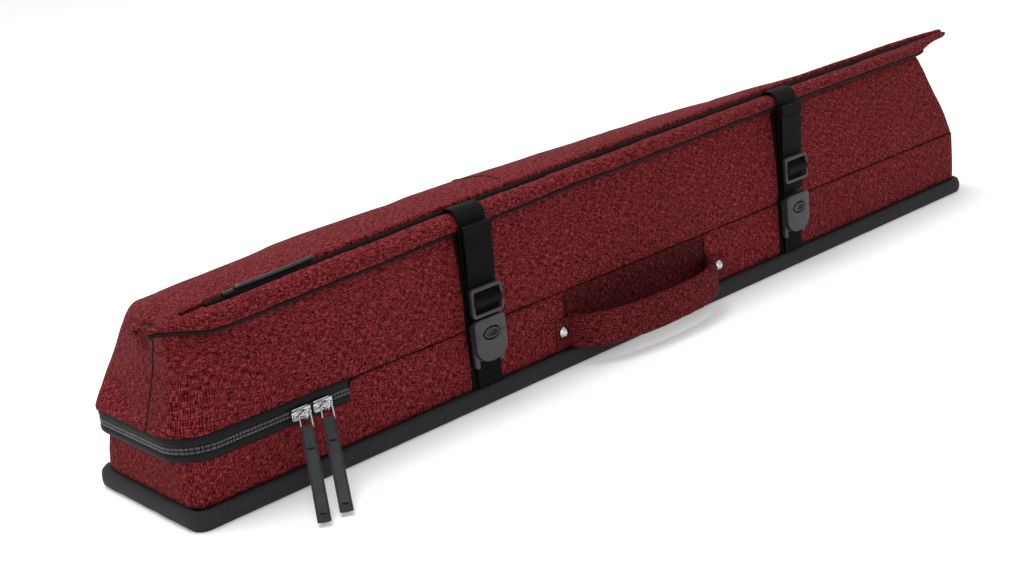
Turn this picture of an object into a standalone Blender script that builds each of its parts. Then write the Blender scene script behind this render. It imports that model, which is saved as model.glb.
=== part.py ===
"""A hard cue case with a soft zipped accessory pocket, a buckled fold-over mouth and a padded grip.

The case lies on its back panel. +X runs from the zipped near end to the far end, the front side
with the grip and the straps faces -Y, and +Z is up. The origin is under the middle of the base.
"""

import math

import bmesh
import bpy
from mathutils import Matrix, Vector

MM = 0.001
FIT = 0.3 * MM                      # gap kept between touching pieces

# Driving dimensions
BASE_LENGTH = 855 * MM
BASE_WIDTH = 131 * MM
BINDING_HEIGHT = 13 * MM
BINDING_WIDTH = 8.4 * MM
BASE_BOARD = 2.4 * MM
WALL_HALF = 57.6 * MM               # outer face of the lower fabric cover
WALL_END = 421 * MM                 # half length of the lower box over its cover
SEAM_Z = 57 * MM                    # where the pocket is sewn to the lower box
COVER = 1.0 * MM
COVER_CORNER = 12 * MM
NEAR_CORNER = 22 * MM                # rounder corners where the zip turns
TRAY_WALL = 1.2 * MM
ZIP_END_X = -297 * MM               # where the near-end zip stops, on both long sides
ZIP_MID_Z = 50.5 * MM
ZIP_HALF = 59.2 * MM                # tape centreline, in Y
ZIP_NEAR_X = -424.5 * MM
ZIP_CORNER = 24 * MM
HOOD_SWING = 32.0                   # degrees the near end lifts
HINGE_Z = 57.5 * MM
PANEL = 3.0 * MM                    # padded pocket wall
LIP_RADIUS = 5.8 * MM
STRAP_X = (-180 * MM, 168 * MM)
WEB_WIDTH = 25 * MM
WEB_THICK = 1.3 * MM
BUCKLE_WIDTH = 29 * MM
GRIP_X = (-97 * MM, 62 * MM)
GRIP_Z = 27.5 * MM
RIVET_X = (-103 * MM, 73 * MM)
CUE_Z = 30 * MM                     # middle of the cue bay
TUBE_X = (-312 * MM, 404 * MM)


def clear_scene():
    for old in list(bpy.data.objects):
        bpy.data.objects.remove(old)


def make_collection(name):
    collection = bpy.data.collections.new(name)
    bpy.context.scene.collection.children.link(collection)
    return collection


clear_scene()
CASE = make_collection("cue_case")
CUTTERS = make_collection("cutters")


def material(name, color, roughness, metallic=0.0):
    made = bpy.data.materials.new(name)
    made.use_nodes = True
    shader = made.node_tree.nodes["Principled BSDF"]
    shader.inputs["Base Color"].default_value = (*color, 1.0)
    shader.inputs["Roughness"].default_value = roughness
    shader.inputs["Metallic"].default_value = metallic
    return made


CANVAS = ((0.10, 0.012, 0.015), 0.85)
WEBBING = ((0.006, 0.006, 0.007), 0.7)
PLASTIC = ((0.06, 0.06, 0.068), 0.45)
CHROME = ((0.75, 0.75, 0.76), 0.15, 1.0)
LEATHER = ((0.04, 0.039, 0.045), 0.6)
BLACK_TAPE = ((0.01, 0.01, 0.011), 0.8)
COIL = ((0.015, 0.015, 0.017), 0.35)
BINDING = ((0.018, 0.018, 0.021), 0.75)
LINING = ((0.012, 0.012, 0.013), 0.9)
BOARD = ((0.02, 0.02, 0.022), 0.6)


def finish(obj, look, collection=CASE):
    """Puts a made object in its collection and gives it its own material."""
    for other in list(obj.users_collection):
        other.objects.unlink(obj)
    collection.objects.link(obj)
    obj.data.materials.clear()
    obj.data.materials.append(material(obj.name, *look))
    return obj


def box(name, low, high, look, bevel=0.0):
    """An upright block between two corners, with its edges rounded if asked."""
    low, high = Vector(low), Vector(high)
    bpy.ops.mesh.primitive_cube_add(size=1, location=(low + high) / 2)
    obj = bpy.context.object
    obj.name = name
    obj.data.transform(Matrix.Diagonal((*(high - low), 1.0)))
    if bevel:
        add_bevel(obj, bevel)
    return finish(obj, look)


def add_bevel(obj, width, segments=1, angle=math.radians(40)):
    bevel = obj.modifiers.new("rounded_edges", "BEVEL")
    bevel.width = width
    bevel.segments = segments
    bevel.limit_method = "ANGLE"
    bevel.angle_limit = angle
    return bevel


def add_shell(obj, thickness, offset=-1.0):
    shell = obj.modifiers.new("wall", "SOLIDIFY")
    shell.thickness = thickness
    shell.offset = offset
    shell.use_even_offset = True
    return shell


def arc(centre, radius, start, end, steps):
    """Points on a circle's arc, angles in degrees."""
    return [
        (
            centre[0] + radius * math.cos(math.radians(start + (end - start) * k / steps)),
            centre[1] + radius * math.sin(math.radians(start + (end - start) * k / steps)),
        )
        for k in range(steps + 1)
    ]


def rounded_rectangle(x0, x1, y0, y1, radius, steps=4, near=None):
    """Corner points round a rectangle; near is the radius of the two corners at x0 if it differs."""
    near = radius if near is None else near
    return (
        arc((x1 - radius, y1 - radius), radius, 0, 90, steps)
        + arc((x0 + near, y1 - near), near, 90, 180, steps)
        + arc((x0 + near, y0 + near), near, 180, 270, steps)
        + arc((x1 - radius, y0 + radius), radius, 270, 360, steps)
    )


def curve_data(name, dimensions):
    data = bpy.data.curves.new(name, "CURVE")
    data.dimensions = dimensions
    data.resolution_u = 1
    return data


def add_spline(data, points, cyclic):
    spline = data.splines.new("POLY")
    spline.points.add(len(points) - 1)
    for knot, point in zip(spline.points, points):
        place = (*point, 0.0) if len(point) == 2 else point
        knot.co = (*place, 1.0)
    spline.use_cyclic_u = cyclic


def plate(name, outlines, thickness, look, place):
    """A flat piece: the first outline is its edge and the others are windows in it."""
    data = curve_data(name, "2D")
    data.fill_mode = "BOTH"
    data.extrude = thickness / 2
    for outline in outlines:
        add_spline(data, outline, True)
    obj = bpy.data.objects.new(name, data)
    obj.matrix_world = place
    CASE.objects.link(obj)
    return finish(obj, look)


def swept(name, points, half_height, radius, look, cyclic=False, resolution=1):
    """A band with rounded edges that follows a level path, or a wire where half_height is 0."""
    data = curve_data(name, "3D")
    data.twist_mode = "Z_UP"
    data.extrude = half_height
    data.bevel_depth = radius
    data.bevel_resolution = resolution
    data.use_fill_caps = not cyclic
    add_spline(data, points, cyclic)
    obj = bpy.data.objects.new(name, data)
    CASE.objects.link(obj)
    return finish(obj, look)


def loft(name, rows, thickness, look, offset=-1.0):
    """A curved sheet through rows of points, given a thickness towards its back."""
    mesh = bpy.data.meshes.new(name)
    bm = bmesh.new()
    grid = [[bm.verts.new(point) for point in row] for row in rows]
    for lower, upper in zip(grid, grid[1:]):
        for k in range(len(lower) - 1):
            bm.faces.new((lower[k], upper[k], upper[k + 1], lower[k + 1]))
    bm.to_mesh(mesh)
    bm.free()
    obj = bpy.data.objects.new(name, mesh)
    CASE.objects.link(obj)
    add_shell(obj, thickness, offset)
    return finish(obj, look)


def cutter_box(name, low, high):
    obj = box(name, low, high, BOARD)
    CASE.objects.unlink(obj)
    CUTTERS.objects.link(obj)
    obj.hide_render = True
    obj.display_type = "WIRE"
    return obj


def cut(obj, tool):
    knife = obj.modifiers.new("cut", "BOOLEAN")
    knife.operation = "DIFFERENCE"
    knife.object = tool


def level(height):
    """A flat outline drawn in X and Y, lifted to a height."""
    return Matrix.Translation((0, 0, height))


def facing_front(y, x=0.0, z=0.0):
    """A flat outline drawn in X and Z, standing with its face towards -Y."""
    return Matrix.Translation((x, y, z)) @ Matrix.Rotation(math.radians(90), 4, "X")


# ---------------------------------------------------------------- the hard lower box


def base():
    inset = 3 * MM
    outline = rounded_rectangle(
        -BASE_LENGTH / 2 + inset, BASE_LENGTH / 2 - inset,
        -BASE_WIDTH / 2 + inset, BASE_WIDTH / 2 - inset, 8 * MM,
    )
    plate("base_board", [outline], BASE_BOARD, BINDING, level(BASE_BOARD / 2))
    half = BINDING_WIDTH / 2
    path = rounded_rectangle(
        -BASE_LENGTH / 2 + half, BASE_LENGTH / 2 - half,
        -BASE_WIDTH / 2 + half, BASE_WIDTH / 2 - half, 9 * MM, 5,
    )
    low = BASE_BOARD + FIT
    middle = (low + BINDING_HEIGHT) / 2
    flat = (BINDING_HEIGHT - low) / 2 - half
    points = [(x, y, middle) for x, y in path]
    swept("edge_binding", points, flat, half, BINDING, cyclic=True, resolution=2)


def tray():
    """The stiff open tray under the cover: a rounded block hollowed from above."""
    half = WALL_HALF - COVER - FIT
    end = WALL_END - COVER - FIT
    top = 56 * MM
    low = BASE_BOARD + FIT
    shoulder = BINDING_HEIGHT + FIT

    def ring(inset):
        return rounded_rectangle(
            -end + inset, end - inset, -half + inset, half - inset,
            COVER_CORNER - COVER - inset, near=NEAR_CORNER - COVER - inset,
        )

    # below the top of the binding the tray draws in to pass inside it
    foot = end - (BASE_LENGTH / 2 - BINDING_WIDTH - FIT)
    rings = [
        (foot, low), (foot, shoulder), (0.0, shoulder), (0.0, top),
        (TRAY_WALL, top), (TRAY_WALL, shoulder + TRAY_WALL),
        (foot + TRAY_WALL, shoulder + TRAY_WALL), (foot + TRAY_WALL, low + TRAY_WALL),
    ]
    mesh = bpy.data.meshes.new("tray_shell")
    bm = bmesh.new()
    rows = [[bm.verts.new((x, y, z)) for x, y in ring(inset)] for inset, z in rings]
    for lower, upper in zip(rows, rows[1:]):
        for k in range(len(lower)):
            n = (k + 1) % len(lower)
            bm.faces.new((lower[k], lower[n], upper[n], upper[k]))
    bm.faces.new(list(reversed(rows[0])))
    bm.faces.new(rows[-1])
    bmesh.ops.recalc_face_normals(bm, faces=bm.faces)
    bm.to_mesh(mesh)
    bm.free()
    obj = bpy.data.objects.new("tray_shell", mesh)
    CASE.objects.link(obj)
    finish(obj, BOARD)
    reach = 0.1
    gap = cutter_box(
        "tray_mouth_cutter",
        (-WALL_END - reach, -reach, ZIP_MID_Z - 1.2 * MM),
        (ZIP_END_X + 2 * MM, reach, ZIP_MID_Z + reach),
    )
    cut(obj, gap)


def tube(name, y, z, outer, wall):
    """A cue tube: a ring drawn across the case and drawn out along it."""
    sides = 20
    rings = [arc((0, 0), r, 0, 360 - 360 / sides, sides - 1) for r in (outer, outer - wall)]
    length = TUBE_X[1] - TUBE_X[0]
    middle = (TUBE_X[0] + TUBE_X[1]) / 2
    place = Matrix.Translation((middle, y, z)) @ Matrix.Rotation(math.radians(90), 4, "Y")
    plate(name, rings, length, BOARD, place)


def cue_bay():
    butt, butt_wall = 17.0 * MM, 1.2 * MM
    shaft, shaft_wall = 11.2 * MM, 0.7 * MM
    step = shaft + FIT / 2
    reach = butt + shaft + FIT
    butt_y = step + math.sqrt(reach ** 2 - step ** 2)
    tube("cue_tube_butt_1", -butt_y, CUE_Z, butt, butt_wall)
    tube("cue_tube_butt_2", butt_y, CUE_Z, butt, butt_wall)
    spots = [(-step, -step), (step, -step), (-step, step), (step, step)]
    for number, (dy, dz) in enumerate(spots, 1):
        tube(f"cue_tube_shaft_{number}", dy, CUE_Z + dz, shaft, shaft_wall)
    # the mouth plate closes the spaces round the tubes just before their mouths
    half = WALL_HALF - COVER - 2 * TRAY_WALL - 2 * FIT
    edge = rounded_rectangle(-half, half, 6.5 * MM - CUE_Z, 52.6 * MM - CUE_Z, 5 * MM, 3)
    place = Matrix.Translation((TUBE_X[0] - 3 * MM, 0, CUE_Z)) @ Matrix(
        ((0, 0, 1, 0), (1, 0, 0, 0), (0, 1, 0, 0), (0, 0, 0, 1))
    )
    bore = butt - butt_wall
    holes = [arc((side * butt_y, 0), bore, 0, 342, 19) for side in (-1, 1)]
    bore = shaft - shaft_wall
    for sign in (-1, 1):
        right = arc((step, sign * step), bore, -90, 90, 9)
        left = arc((-step, sign * step), bore, 90, 270, 9)
        holes.append(right + left)
    plate("mouth_plate", [edge, *holes], 2 * MM, LINING, place)


def deck():
    half = WALL_HALF - COVER - TRAY_WALL - 3 * FIT
    outline = rounded_rectangle(ZIP_END_X - 12 * MM, WALL_END - 4 * MM, -half, half, 8 * MM)
    thickness = 2 * MM
    plate("deck_board", [outline], thickness, LINING, level(54 * MM + thickness / 2))


def u_path(half, near_x, end_x, corner, z):
    """A level path from the front side, round the near end, to the back side."""
    front = [(end_x, -half, z)]
    turn = [(x, y, z) for x, y in arc((near_x + corner, -half + corner), corner, 270, 180, 6)]
    back = [(x, y, z) for x, y in arc((near_x + corner, half - corner), corner, 180, 90, 6)]
    return front + turn + back + [(end_x, half, z)]


def covers():
    """The fabric skin of the lower box, in the pieces it is sewn from."""
    low = BINDING_HEIGHT + FIT
    radius = COVER / 2
    tape_foot = 43 * MM
    half = WALL_HALF - radius

    def band(name, points, z0, z1):
        middle = (z0 + z1) / 2
        lifted = [(p[0], p[1], middle) for p in points]
        swept(name, lifted, (z1 - z0) / 2 - radius, radius, CANVAS, resolution=0)

    band("near_wrap", u_path(half, -WALL_END + radius, ZIP_END_X - FIT, NEAR_CORNER, 0), low, tape_foot)
    seam = SEAM_Z - FIT
    band("front_cover_left", [(ZIP_END_X + FIT, -half, 0), (GRIP_X[0] - FIT, -half, 0)], low, seam)
    band("recess_panel", [(GRIP_X[0] + FIT, -half, 0), (GRIP_X[1] - FIT, -half, 0)], low, seam)
    far = [(-x, y, z) for x, y, z in u_path(half, -WALL_END + radius, -GRIP_X[1] - FIT, COVER_CORNER, 0)]
    far[-1] = (ZIP_END_X + FIT, half, 0)
    band("cover_wrap", far, low, seam)


# ---------------------------------------------------------------- the soft pocket


def between(x, stops):
    """Straight-line value at x from (x, value) stops."""
    if x <= stops[0][0]:
        return stops[0][1]
    for (x0, v0), (x1, v1) in zip(stops, stops[1:]):
        if x <= x1:
            return v0 + (v1 - v0) * (x - x0) / (x1 - x0)
    return stops[-1][1]


LIP_STOPS = [(-0.415, 0.1345), (-0.30, 0.139), (-0.18, 0.143), (0.0, 0.147), (0.2, 0.150), (0.43, 0.152)]
RIDGE_STOPS = [(-0.40, 0.129), (-0.30, 0.135), (-0.18, 0.138), (0.0, 0.138), (0.2, 0.135), (0.38, 0.126)]


def lip_top(x):
    """Height of the pocket's mouth at x."""
    return between(x, LIP_STOPS)


def ridge(x):
    """Height of the roof's rear shoulder at x."""
    return between(x, RIDGE_STOPS)


def front_profile(x):
    top = lip_top(x) - 13.5 * MM
    foot = SEAM_Z + FIT
    return [
        (-56.8 * MM, foot), (-58.0 * MM, 75 * MM), (-58.2 * MM, 95 * MM), (-57.2 * MM, 115 * MM),
        (-54.5 * MM, top),
    ]


def roof_profile(x):
    mouth, rear = lip_top(x), ridge(x)
    blend = [(-43.4, 1.0, -0.5), (-22.0, 0.7, 1.5), (5.0, 0.35, 2.0), (25.0, 0.0, 0.0), (37.0, 0.0, -5.6)]
    return [(y * MM, mouth * share + rear * (1 - share) + lift * MM) for y, share, lift in blend]


def back_profile(x):
    rear = ridge(x)
    foot = SEAM_Z + FIT
    return [
        (42.0 * MM, rear - 9.5 * MM), (50.5 * MM, rear - 19 * MM), (55.5 * MM, rear - 38 * MM),
        (57.4 * MM, 75 * MM), (56.8 * MM, foot),
    ]


FOLD_SLOPE = math.tan(math.radians(HOOD_SWING / 2))


def fold_edge(z, side):
    """X of the pocket's cut edge at the fold: side +1 is the fixed pocket and -1 the hood."""
    return ZIP_END_X + side * (max(z - HINGE_Z, 0) * FOLD_SLOPE + 2 * MM)


def far_edge(z):
    return WALL_END - 1 * MM - (z - SEAM_Z) * 0.6


def pocket_sheet(name, profile, stations=9):
    rows = []
    for k in range(stations + 1):
        share = k / stations
        nominal = -0.27 + share * 0.65
        rows.append([
            (fold_edge(z, 1) * (1 - share) + far_edge(z) * share, y, z) for y, z in profile(nominal)
        ])
    return loft(name, rows, PANEL, CANVAS)


def pocket():
    pocket_sheet("pocket_front", front_profile)
    pocket_sheet("pocket_roof", roof_profile)
    pocket_sheet("pocket_back", back_profile)
    inset = PANEL + 3.4 * MM
    at = 0.37
    outline = front_profile(at) + roof_profile(at) + back_profile(at)[1:]
    centre_z = 95 * MM
    points = []
    for y, z in outline:
        y_in = y - math.copysign(inset, y) if abs(y) > 30 * MM else y
        z_in = z - inset if z > centre_z + 25 * MM else z
        points.append((far_edge(z_in) - 6 * MM, y_in, z_in))
    mesh = bpy.data.meshes.new("pocket_far_end")
    bm = bmesh.new()
    bm.faces.new([bm.verts.new(p) for p in points])
    bm.to_mesh(mesh)
    bm.free()
    obj = bpy.data.objects.new("pocket_far_end", mesh)
    CASE.objects.link(obj)
    add_shell(obj, PANEL)
    finish(obj, CANVAS)


def hood():
    """The near end of the pocket, which lifts when the end zip is open."""
    near = -0.4235
    lean = 0.30
    rows = []
    for share, nominal in ((0.0, -0.34), (0.35, -0.37), (0.7, -0.395), (1.0, -0.41)):
        top = lip_top(nominal)
        under_lip = [(-46.0 * MM, top - 13.2 * MM), (-44.2 * MM, top - 6 * MM)]
        profile = front_profile(nominal) + under_lip + roof_profile(nominal) + back_profile(nominal)
        row = []
        for y, z in profile:
            z = max(z, ZIP_MID_Z + 8.6 * MM)
            end = near + (z - SEAM_Z) * lean
            row.append((fold_edge(z, -1) * (1 - share) + end * share, y, z))
        rows.append(row)
    mesh = bpy.data.meshes.new("hood_shell")
    bm = bmesh.new()
    grid = [[bm.verts.new(point) for point in row] for row in rows]
    for lower, upper in zip(grid, grid[1:]):
        for k in range(len(lower) - 1):
            bm.faces.new((lower[k + 1], lower[k], upper[k], upper[k + 1]))
    bm.faces.new(list(reversed(grid[-1])))
    bmesh.ops.recalc_face_normals(bm, faces=bm.faces)
    bm.to_mesh(mesh)
    bm.free()
    obj = bpy.data.objects.new("hood_shell", mesh)
    CASE.objects.link(obj)
    add_shell(obj, PANEL)
    finish(obj, CANVAS)


def fold_zone():
    """The slack cloth between the fixed pocket and the hood: it folds as the hood lifts."""
    rows = []
    for share in (0.0, 0.5, 1.0):
        nominal = -0.33 + share * 0.05
        profile = front_profile(nominal)[1:] + roof_profile(nominal) + back_profile(nominal)[:-1]
        rows.append([
            (
                (fold_edge(z, -1) + 3 * FIT) * (1 - share) + (fold_edge(z, 1) - 3 * FIT) * share,
                y * 0.985, z - 0.5 * MM,
            )
            for y, z in profile
        ])
    loft("fold_cloth", rows, 1.5 * MM, CANVAS)


# ---------------------------------------------------------------- the mouth of the pocket


def lip_roll(name, x0, x1, stations):
    """The padded roll along the front of the mouth: an oval bar."""
    mesh = bpy.data.meshes.new(name)
    bm = bmesh.new()
    sides = 10
    rings = []
    for k in range(stations + 1):
        x = x0 + (x1 - x0) * k / stations
        centre = lip_top(x) - 6.6 * MM
        ring = arc((-52.6 * MM, centre), LIP_RADIUS, 0, 360 - 360 / sides, sides - 1)
        rings.append([bm.verts.new((x, y, z)) for y, z in ring])
    for lower, upper in zip(rings, rings[1:]):
        for k in range(sides):
            n = (k + 1) % sides
            bm.faces.new((lower[k], lower[n], upper[n], upper[k]))
    bm.faces.new(rings[0])
    bm.faces.new(rings[-1])
    bmesh.ops.recalc_face_normals(bm, faces=bm.faces)
    bm.to_mesh(mesh)
    bm.free()
    obj = bpy.data.objects.new(name, mesh)
    CASE.objects.link(obj)
    return finish(obj, CANVAS)


def mouth():
    lip_roll("front_lip", -0.262, 0.428, 8)
    lip_roll("hood_lip", -0.416, -0.325, 3)
    x0, x1 = -0.243, 0.352
    for name, y in (("top_zip_tape_rear", -43.8 * MM), ("top_zip_tape_front", -45.6 * MM)):
        rows = [
            [(x, y, lip_top(x) - 12 * MM), (x, y, lip_top(x) - 5.5 * MM)] for x in (x0, 0.0, x1)
        ]
        loft(name, rows, 0.8 * MM, BLACK_TAPE, offset=0.0)


# ---------------------------------------------------------------- zips and pulls


def end_zip():
    tape = 0.5 * MM
    for name, z in (("zip_tape_lower", ZIP_MID_Z - 3.9 * MM), ("zip_tape_upper", ZIP_MID_Z + 3.9 * MM)):
        path = u_path(ZIP_HALF, ZIP_NEAR_X, ZIP_END_X, ZIP_CORNER, z)
        swept(name, path, 3.0 * MM - tape, tape, BLACK_TAPE, resolution=0)
    coil = 0.9 * MM
    out = ZIP_HALF + tape + coil + FIT
    for name, z in (("zip_coil_lower", ZIP_MID_Z - 1.1 * MM), ("zip_coil_upper", ZIP_MID_Z + 1.1 * MM)):
        path = u_path(out, ZIP_NEAR_X - (out - ZIP_HALF), ZIP_END_X, ZIP_CORNER + out - ZIP_HALF, z)
        swept(name, path, 0.0, coil, COIL)


SLIDERS = (("a", -339.5 * MM), ("b", -322.5 * MM))
PULL_LEAN = Vector((-0.40, -0.678, -0.616)).normalized()
PULL_AXIS = Vector((-0.678, 0.40, 0.0)).normalized()
PULL_LENGTH = 77 * MM
CROWN_Y = -67.0 * MM


def slider(name, x):
    """A plate over the coil with a ring standing on it for the wire loop."""
    back, front = -62.2 * MM, -63.8 * MM
    body = box(
        name, (x - 7.5 * MM, front, ZIP_MID_Z - 3.6 * MM), (x + 7.5 * MM, back, ZIP_MID_Z + 3.6 * MM), CHROME,
    )
    bpy.ops.mesh.primitive_torus_add(
        location=(x, CROWN_Y, ZIP_MID_Z), rotation=(0, math.radians(90), 0),
        major_radius=2.95 * MM, minor_radius=0.65 * MM, major_segments=16, minor_segments=6,
    )
    crown = finish(bpy.context.object, CHROME, CUTTERS)
    crown.name = f"{name}_crown"
    crown.hide_render = True
    crown.display_type = "WIRE"
    join = body.modifiers.new("crown", "BOOLEAN")
    join.operation = "UNION"
    join.object = crown
    return body


def pull(letter, x):
    """A wire loop through the crown with a leather tab sewn round it, lying out to the floor."""
    pivot = Vector((x, CROWN_Y, ZIP_MID_Z))
    face = PULL_AXIS.cross(PULL_LEAN)
    frame = Matrix((PULL_AXIS, face, -PULL_LEAN)).transposed().to_4x4()
    frame.translation = pivot
    wire = 0.65 * MM
    half, drop = 3.7 * MM, 10 * MM
    loop = rounded_rectangle(-half, half, -drop, 0.0, 1.6 * MM, 2)
    points = [frame @ Vector((u, 0, v)) for u, v in loop]
    swept(f"pull_loop_{letter}", [tuple(p) for p in points], 0.0, wire, CHROME, cyclic=True)
    width, thick = 8.2 * MM, 2.2 * MM
    top = drop + wire + FIT
    bpy.ops.mesh.primitive_cube_add(size=1)
    tab = bpy.context.object
    tab.name = f"pull_tab_{letter}"
    length = PULL_LENGTH - top
    tab.data.transform(Matrix.Diagonal((width, thick, length, 1.0)))
    tab.data.transform(Matrix.Translation((0, 0, -top - length / 2)))
    tab.matrix_world = frame
    add_bevel(tab, 0.6 * MM)
    finish(tab, LEATHER)


def pulls():
    for letter, x in SLIDERS:
        slider(f"zip_slider_{letter}", x)
        pull(letter, x)


TOP_SLIDER_X = -0.366


def top_slider():
    z = lip_top(TOP_SLIDER_X) + 2.0 * MM
    box(
        "top_zip_slider",
        (TOP_SLIDER_X - 5 * MM, -46.4 * MM, z - 2.4 * MM), (TOP_SLIDER_X + 4 * MM, -43.8 * MM, z + 0.4 * MM),
        CHROME, 0.5 * MM,
    )
    start = TOP_SLIDER_X + 4.6 * MM
    length = 62 * MM
    points = [(start, -45.1 * MM, z + 1.2 * MM), (start + length, -45.1 * MM, z + 3.6 * MM)]
    swept("top_zip_puller", points, 0.0, 1.3 * MM, PLASTIC)


# ---------------------------------------------------------------- straps and buckles

BUCKLES = {
    "near": (STRAP_X[0], 78.5 * MM, 50 * MM),
    "far": (STRAP_X[1], 86.0 * MM, 48 * MM),
}


def webbing(name, x, path, width=WEB_WIDTH, offset=0.0):
    """A strap of webbing across X that follows a path given in Y and Z."""
    rows = [[(x - width / 2, y, z) for y, z in path], [(x + width / 2, y, z) for y, z in path]]
    return loft(name, rows, WEB_THICK, WEBBING, offset)


def strap(where):
    x, glide_z, plate_z = BUCKLES[where]
    mouth_z = lip_top(x)
    roll_z = mouth_z - 6.6 * MM
    # sewn to the case from the binding up to the lip
    webbing(
        f"strap_{where}_base", x,
        [(-58.6 * MM, BINDING_HEIGHT + MM), (-58.7 * MM, 57 * MM), (-59.3 * MM, 75 * MM),
         (-59.4 * MM, 95 * MM), (-58.6 * MM, 115 * MM), (-57.6 * MM, mouth_z - 16 * MM)],
    )
    over = arc((-52.6 * MM, roll_z), LIP_RADIUS + 1.1 * MM, 50, 172, 6)
    webbing(f"strap_{where}_anchor", x, over)
    # the free strap goes down to the buckle's bar, turns round it and comes back up as the tail
    bar_z = plate_z + 18.5 * MM
    turn = arc((-63.1 * MM, bar_z + 2 * MM), 1.7 * MM, 0, -180, 5)
    path = (
        [(-61.4 * MM, roll_z - 1 * MM), (-61.4 * MM, 100 * MM)]
        + turn
        + [(-64.9 * MM, glide_z + 12 * MM), (-65.6 * MM, 112 * MM), (-64.4 * MM, mouth_z - 9 * MM)]
    )
    webbing(f"strap_{where}_webbing", x, path)
    half = BUCKLE_WIDTH / 2
    height = 22 * MM
    outer = rounded_rectangle(-half, half, -height / 2, height / 2, 3.5 * MM, 3)
    side = half - 2.6 * MM
    windows = [
        rounded_rectangle(-side, side, 1.8 * MM, height / 2 - 2.6 * MM, 1 * MM, 1),
        rounded_rectangle(-side, side, -height / 2 + 2.6 * MM, -1.8 * MM, 1 * MM, 1),
    ]
    plate(
        f"strap_{where}_glide", [outer, *windows], 2.6 * MM, PLASTIC,
        facing_front(-68.0 * MM, x, glide_z),
    )
    buckle(where, x, plate_z)
    webbing(
        f"strap_{where}_lower", x,
        [(-60.4 * MM, BINDING_HEIGHT + 1.2 * MM), (-60.6 * MM, plate_z - 16 * MM)], 22 * MM,
    )


def buckle(where, x, z):
    """A front plate with a press tab in it, over a frame that the lower webbing holds."""
    half = BUCKLE_WIDTH / 2 - 0.2 * MM
    tall = 15.5 * MM
    bottom = arc((0, -tall + half * 0.8), half, 200, 340, 8)
    top = arc((half - 3 * MM, tall - 3 * MM), 3 * MM, 0, 90, 2) + arc(
        (-half + 3 * MM, tall - 3 * MM), 3 * MM, 90, 180, 2
    )
    oval = [(px * 7.5 * MM, pz * 4.6 * MM + 5 * MM) for px, pz in arc((0, 0), 1.0, 0, 345, 23)]
    plate(
        f"strap_{where}_plate", [top + bottom, oval], 3.6 * MM, PLASTIC,
        facing_front(-67.4 * MM, x, z),
    )
    tab = [(px * 7.1 * MM, pz * 4.2 * MM + 5 * MM) for px, pz in arc((0, 0), 1.0, 0, 340, 17)]
    plate(f"strap_{where}_button", [tab], 2.2 * MM, PLASTIC, facing_front(-68.3 * MM, x, z))
    frame = rounded_rectangle(-half + MM, half - MM, -21 * MM, 13.5 * MM, 2 * MM, 2)
    window = rounded_rectangle(-half + 4 * MM, half - 4 * MM, -17.5 * MM, -13 * MM, 0.8 * MM, 1)
    plate(f"strap_{where}_frame", [frame, window], 2.6 * MM, PLASTIC, facing_front(-63.2 * MM, x, z))


# ---------------------------------------------------------------- the grip


def grip():
    """A padded strap that stands out from the front side, between two riveted ends."""
    out = -87 * MM
    root = -68.5 * MM
    thick = 4.2 * MM
    tall = 13 * MM
    x0, x1 = GRIP_X[0] + 7 * MM, GRIP_X[1] - 5 * MM
    steps = 12
    path = []
    for k in range(steps + 1):
        share = k / steps
        rise = math.sin(math.pi * share) ** 0.45
        path.append((x0 + (x1 - x0) * share, root + (out - root) * rise, GRIP_Z))
    swept("grip", path, tall - thick, thick, CANVAS, resolution=1)
    for side, x, sign in (("left", x0, -1), ("right", x1, 1)):
        tab = [(x + sign * 1.0 * MM, root + 4.6 * MM, GRIP_Z), (x + sign * 5.5 * MM, -59.9 * MM, GRIP_Z)]
        swept(f"grip_end_{side}", tab, 10.5 * MM, 1.4 * MM, CANVAS, resolution=0)
    for side, x in zip(("left", "right"), RIVET_X):
        bpy.ops.mesh.primitive_cylinder_add(vertices=20, radius=4.2 * MM, depth=2.4 * MM)
        rivet = bpy.context.object
        rivet.name = f"rivet_{side}"
        rivet.data.transform(Matrix.Rotation(math.radians(90), 4, "X"))
        rivet.location = (x, -WALL_HALF - 1.5 * MM, GRIP_Z)
        add_bevel(rivet, 1.1 * MM, 2)
        finish(rivet, CHROME)


base()
tray()
cue_bay()
deck()
covers()
pocket()
hood()
fold_zone()
mouth()
end_zip()
pulls()
top_slider()
for place in BUCKLES:
    strap(place)
grip()
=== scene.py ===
# %% [markdown]
# # A soft-topped cue case, piece by piece
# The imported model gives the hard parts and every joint. This notebook sets a pale floor and its
# lamps, then sews the cloth, moulds the buckles and cuts the leather round that model.

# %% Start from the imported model
import math

import bmesh
import bpy
from mathutils import Matrix, Vector, noise
from mathutils.bvhtree import BVHTree


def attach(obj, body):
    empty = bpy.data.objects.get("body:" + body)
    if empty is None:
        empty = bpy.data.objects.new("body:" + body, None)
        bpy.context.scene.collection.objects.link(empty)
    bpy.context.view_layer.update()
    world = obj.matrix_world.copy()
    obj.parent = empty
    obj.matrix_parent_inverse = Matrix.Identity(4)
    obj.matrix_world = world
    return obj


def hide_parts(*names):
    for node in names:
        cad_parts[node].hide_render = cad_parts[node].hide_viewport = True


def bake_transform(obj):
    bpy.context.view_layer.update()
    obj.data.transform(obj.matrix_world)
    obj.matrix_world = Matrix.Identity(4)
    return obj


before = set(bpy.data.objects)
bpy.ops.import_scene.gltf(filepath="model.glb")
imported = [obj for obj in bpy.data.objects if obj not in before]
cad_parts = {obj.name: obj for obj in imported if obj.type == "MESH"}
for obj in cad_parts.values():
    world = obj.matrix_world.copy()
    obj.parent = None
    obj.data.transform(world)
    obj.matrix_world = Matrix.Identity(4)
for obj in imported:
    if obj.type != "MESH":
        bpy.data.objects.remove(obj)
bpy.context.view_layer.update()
MM = 0.001

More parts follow.
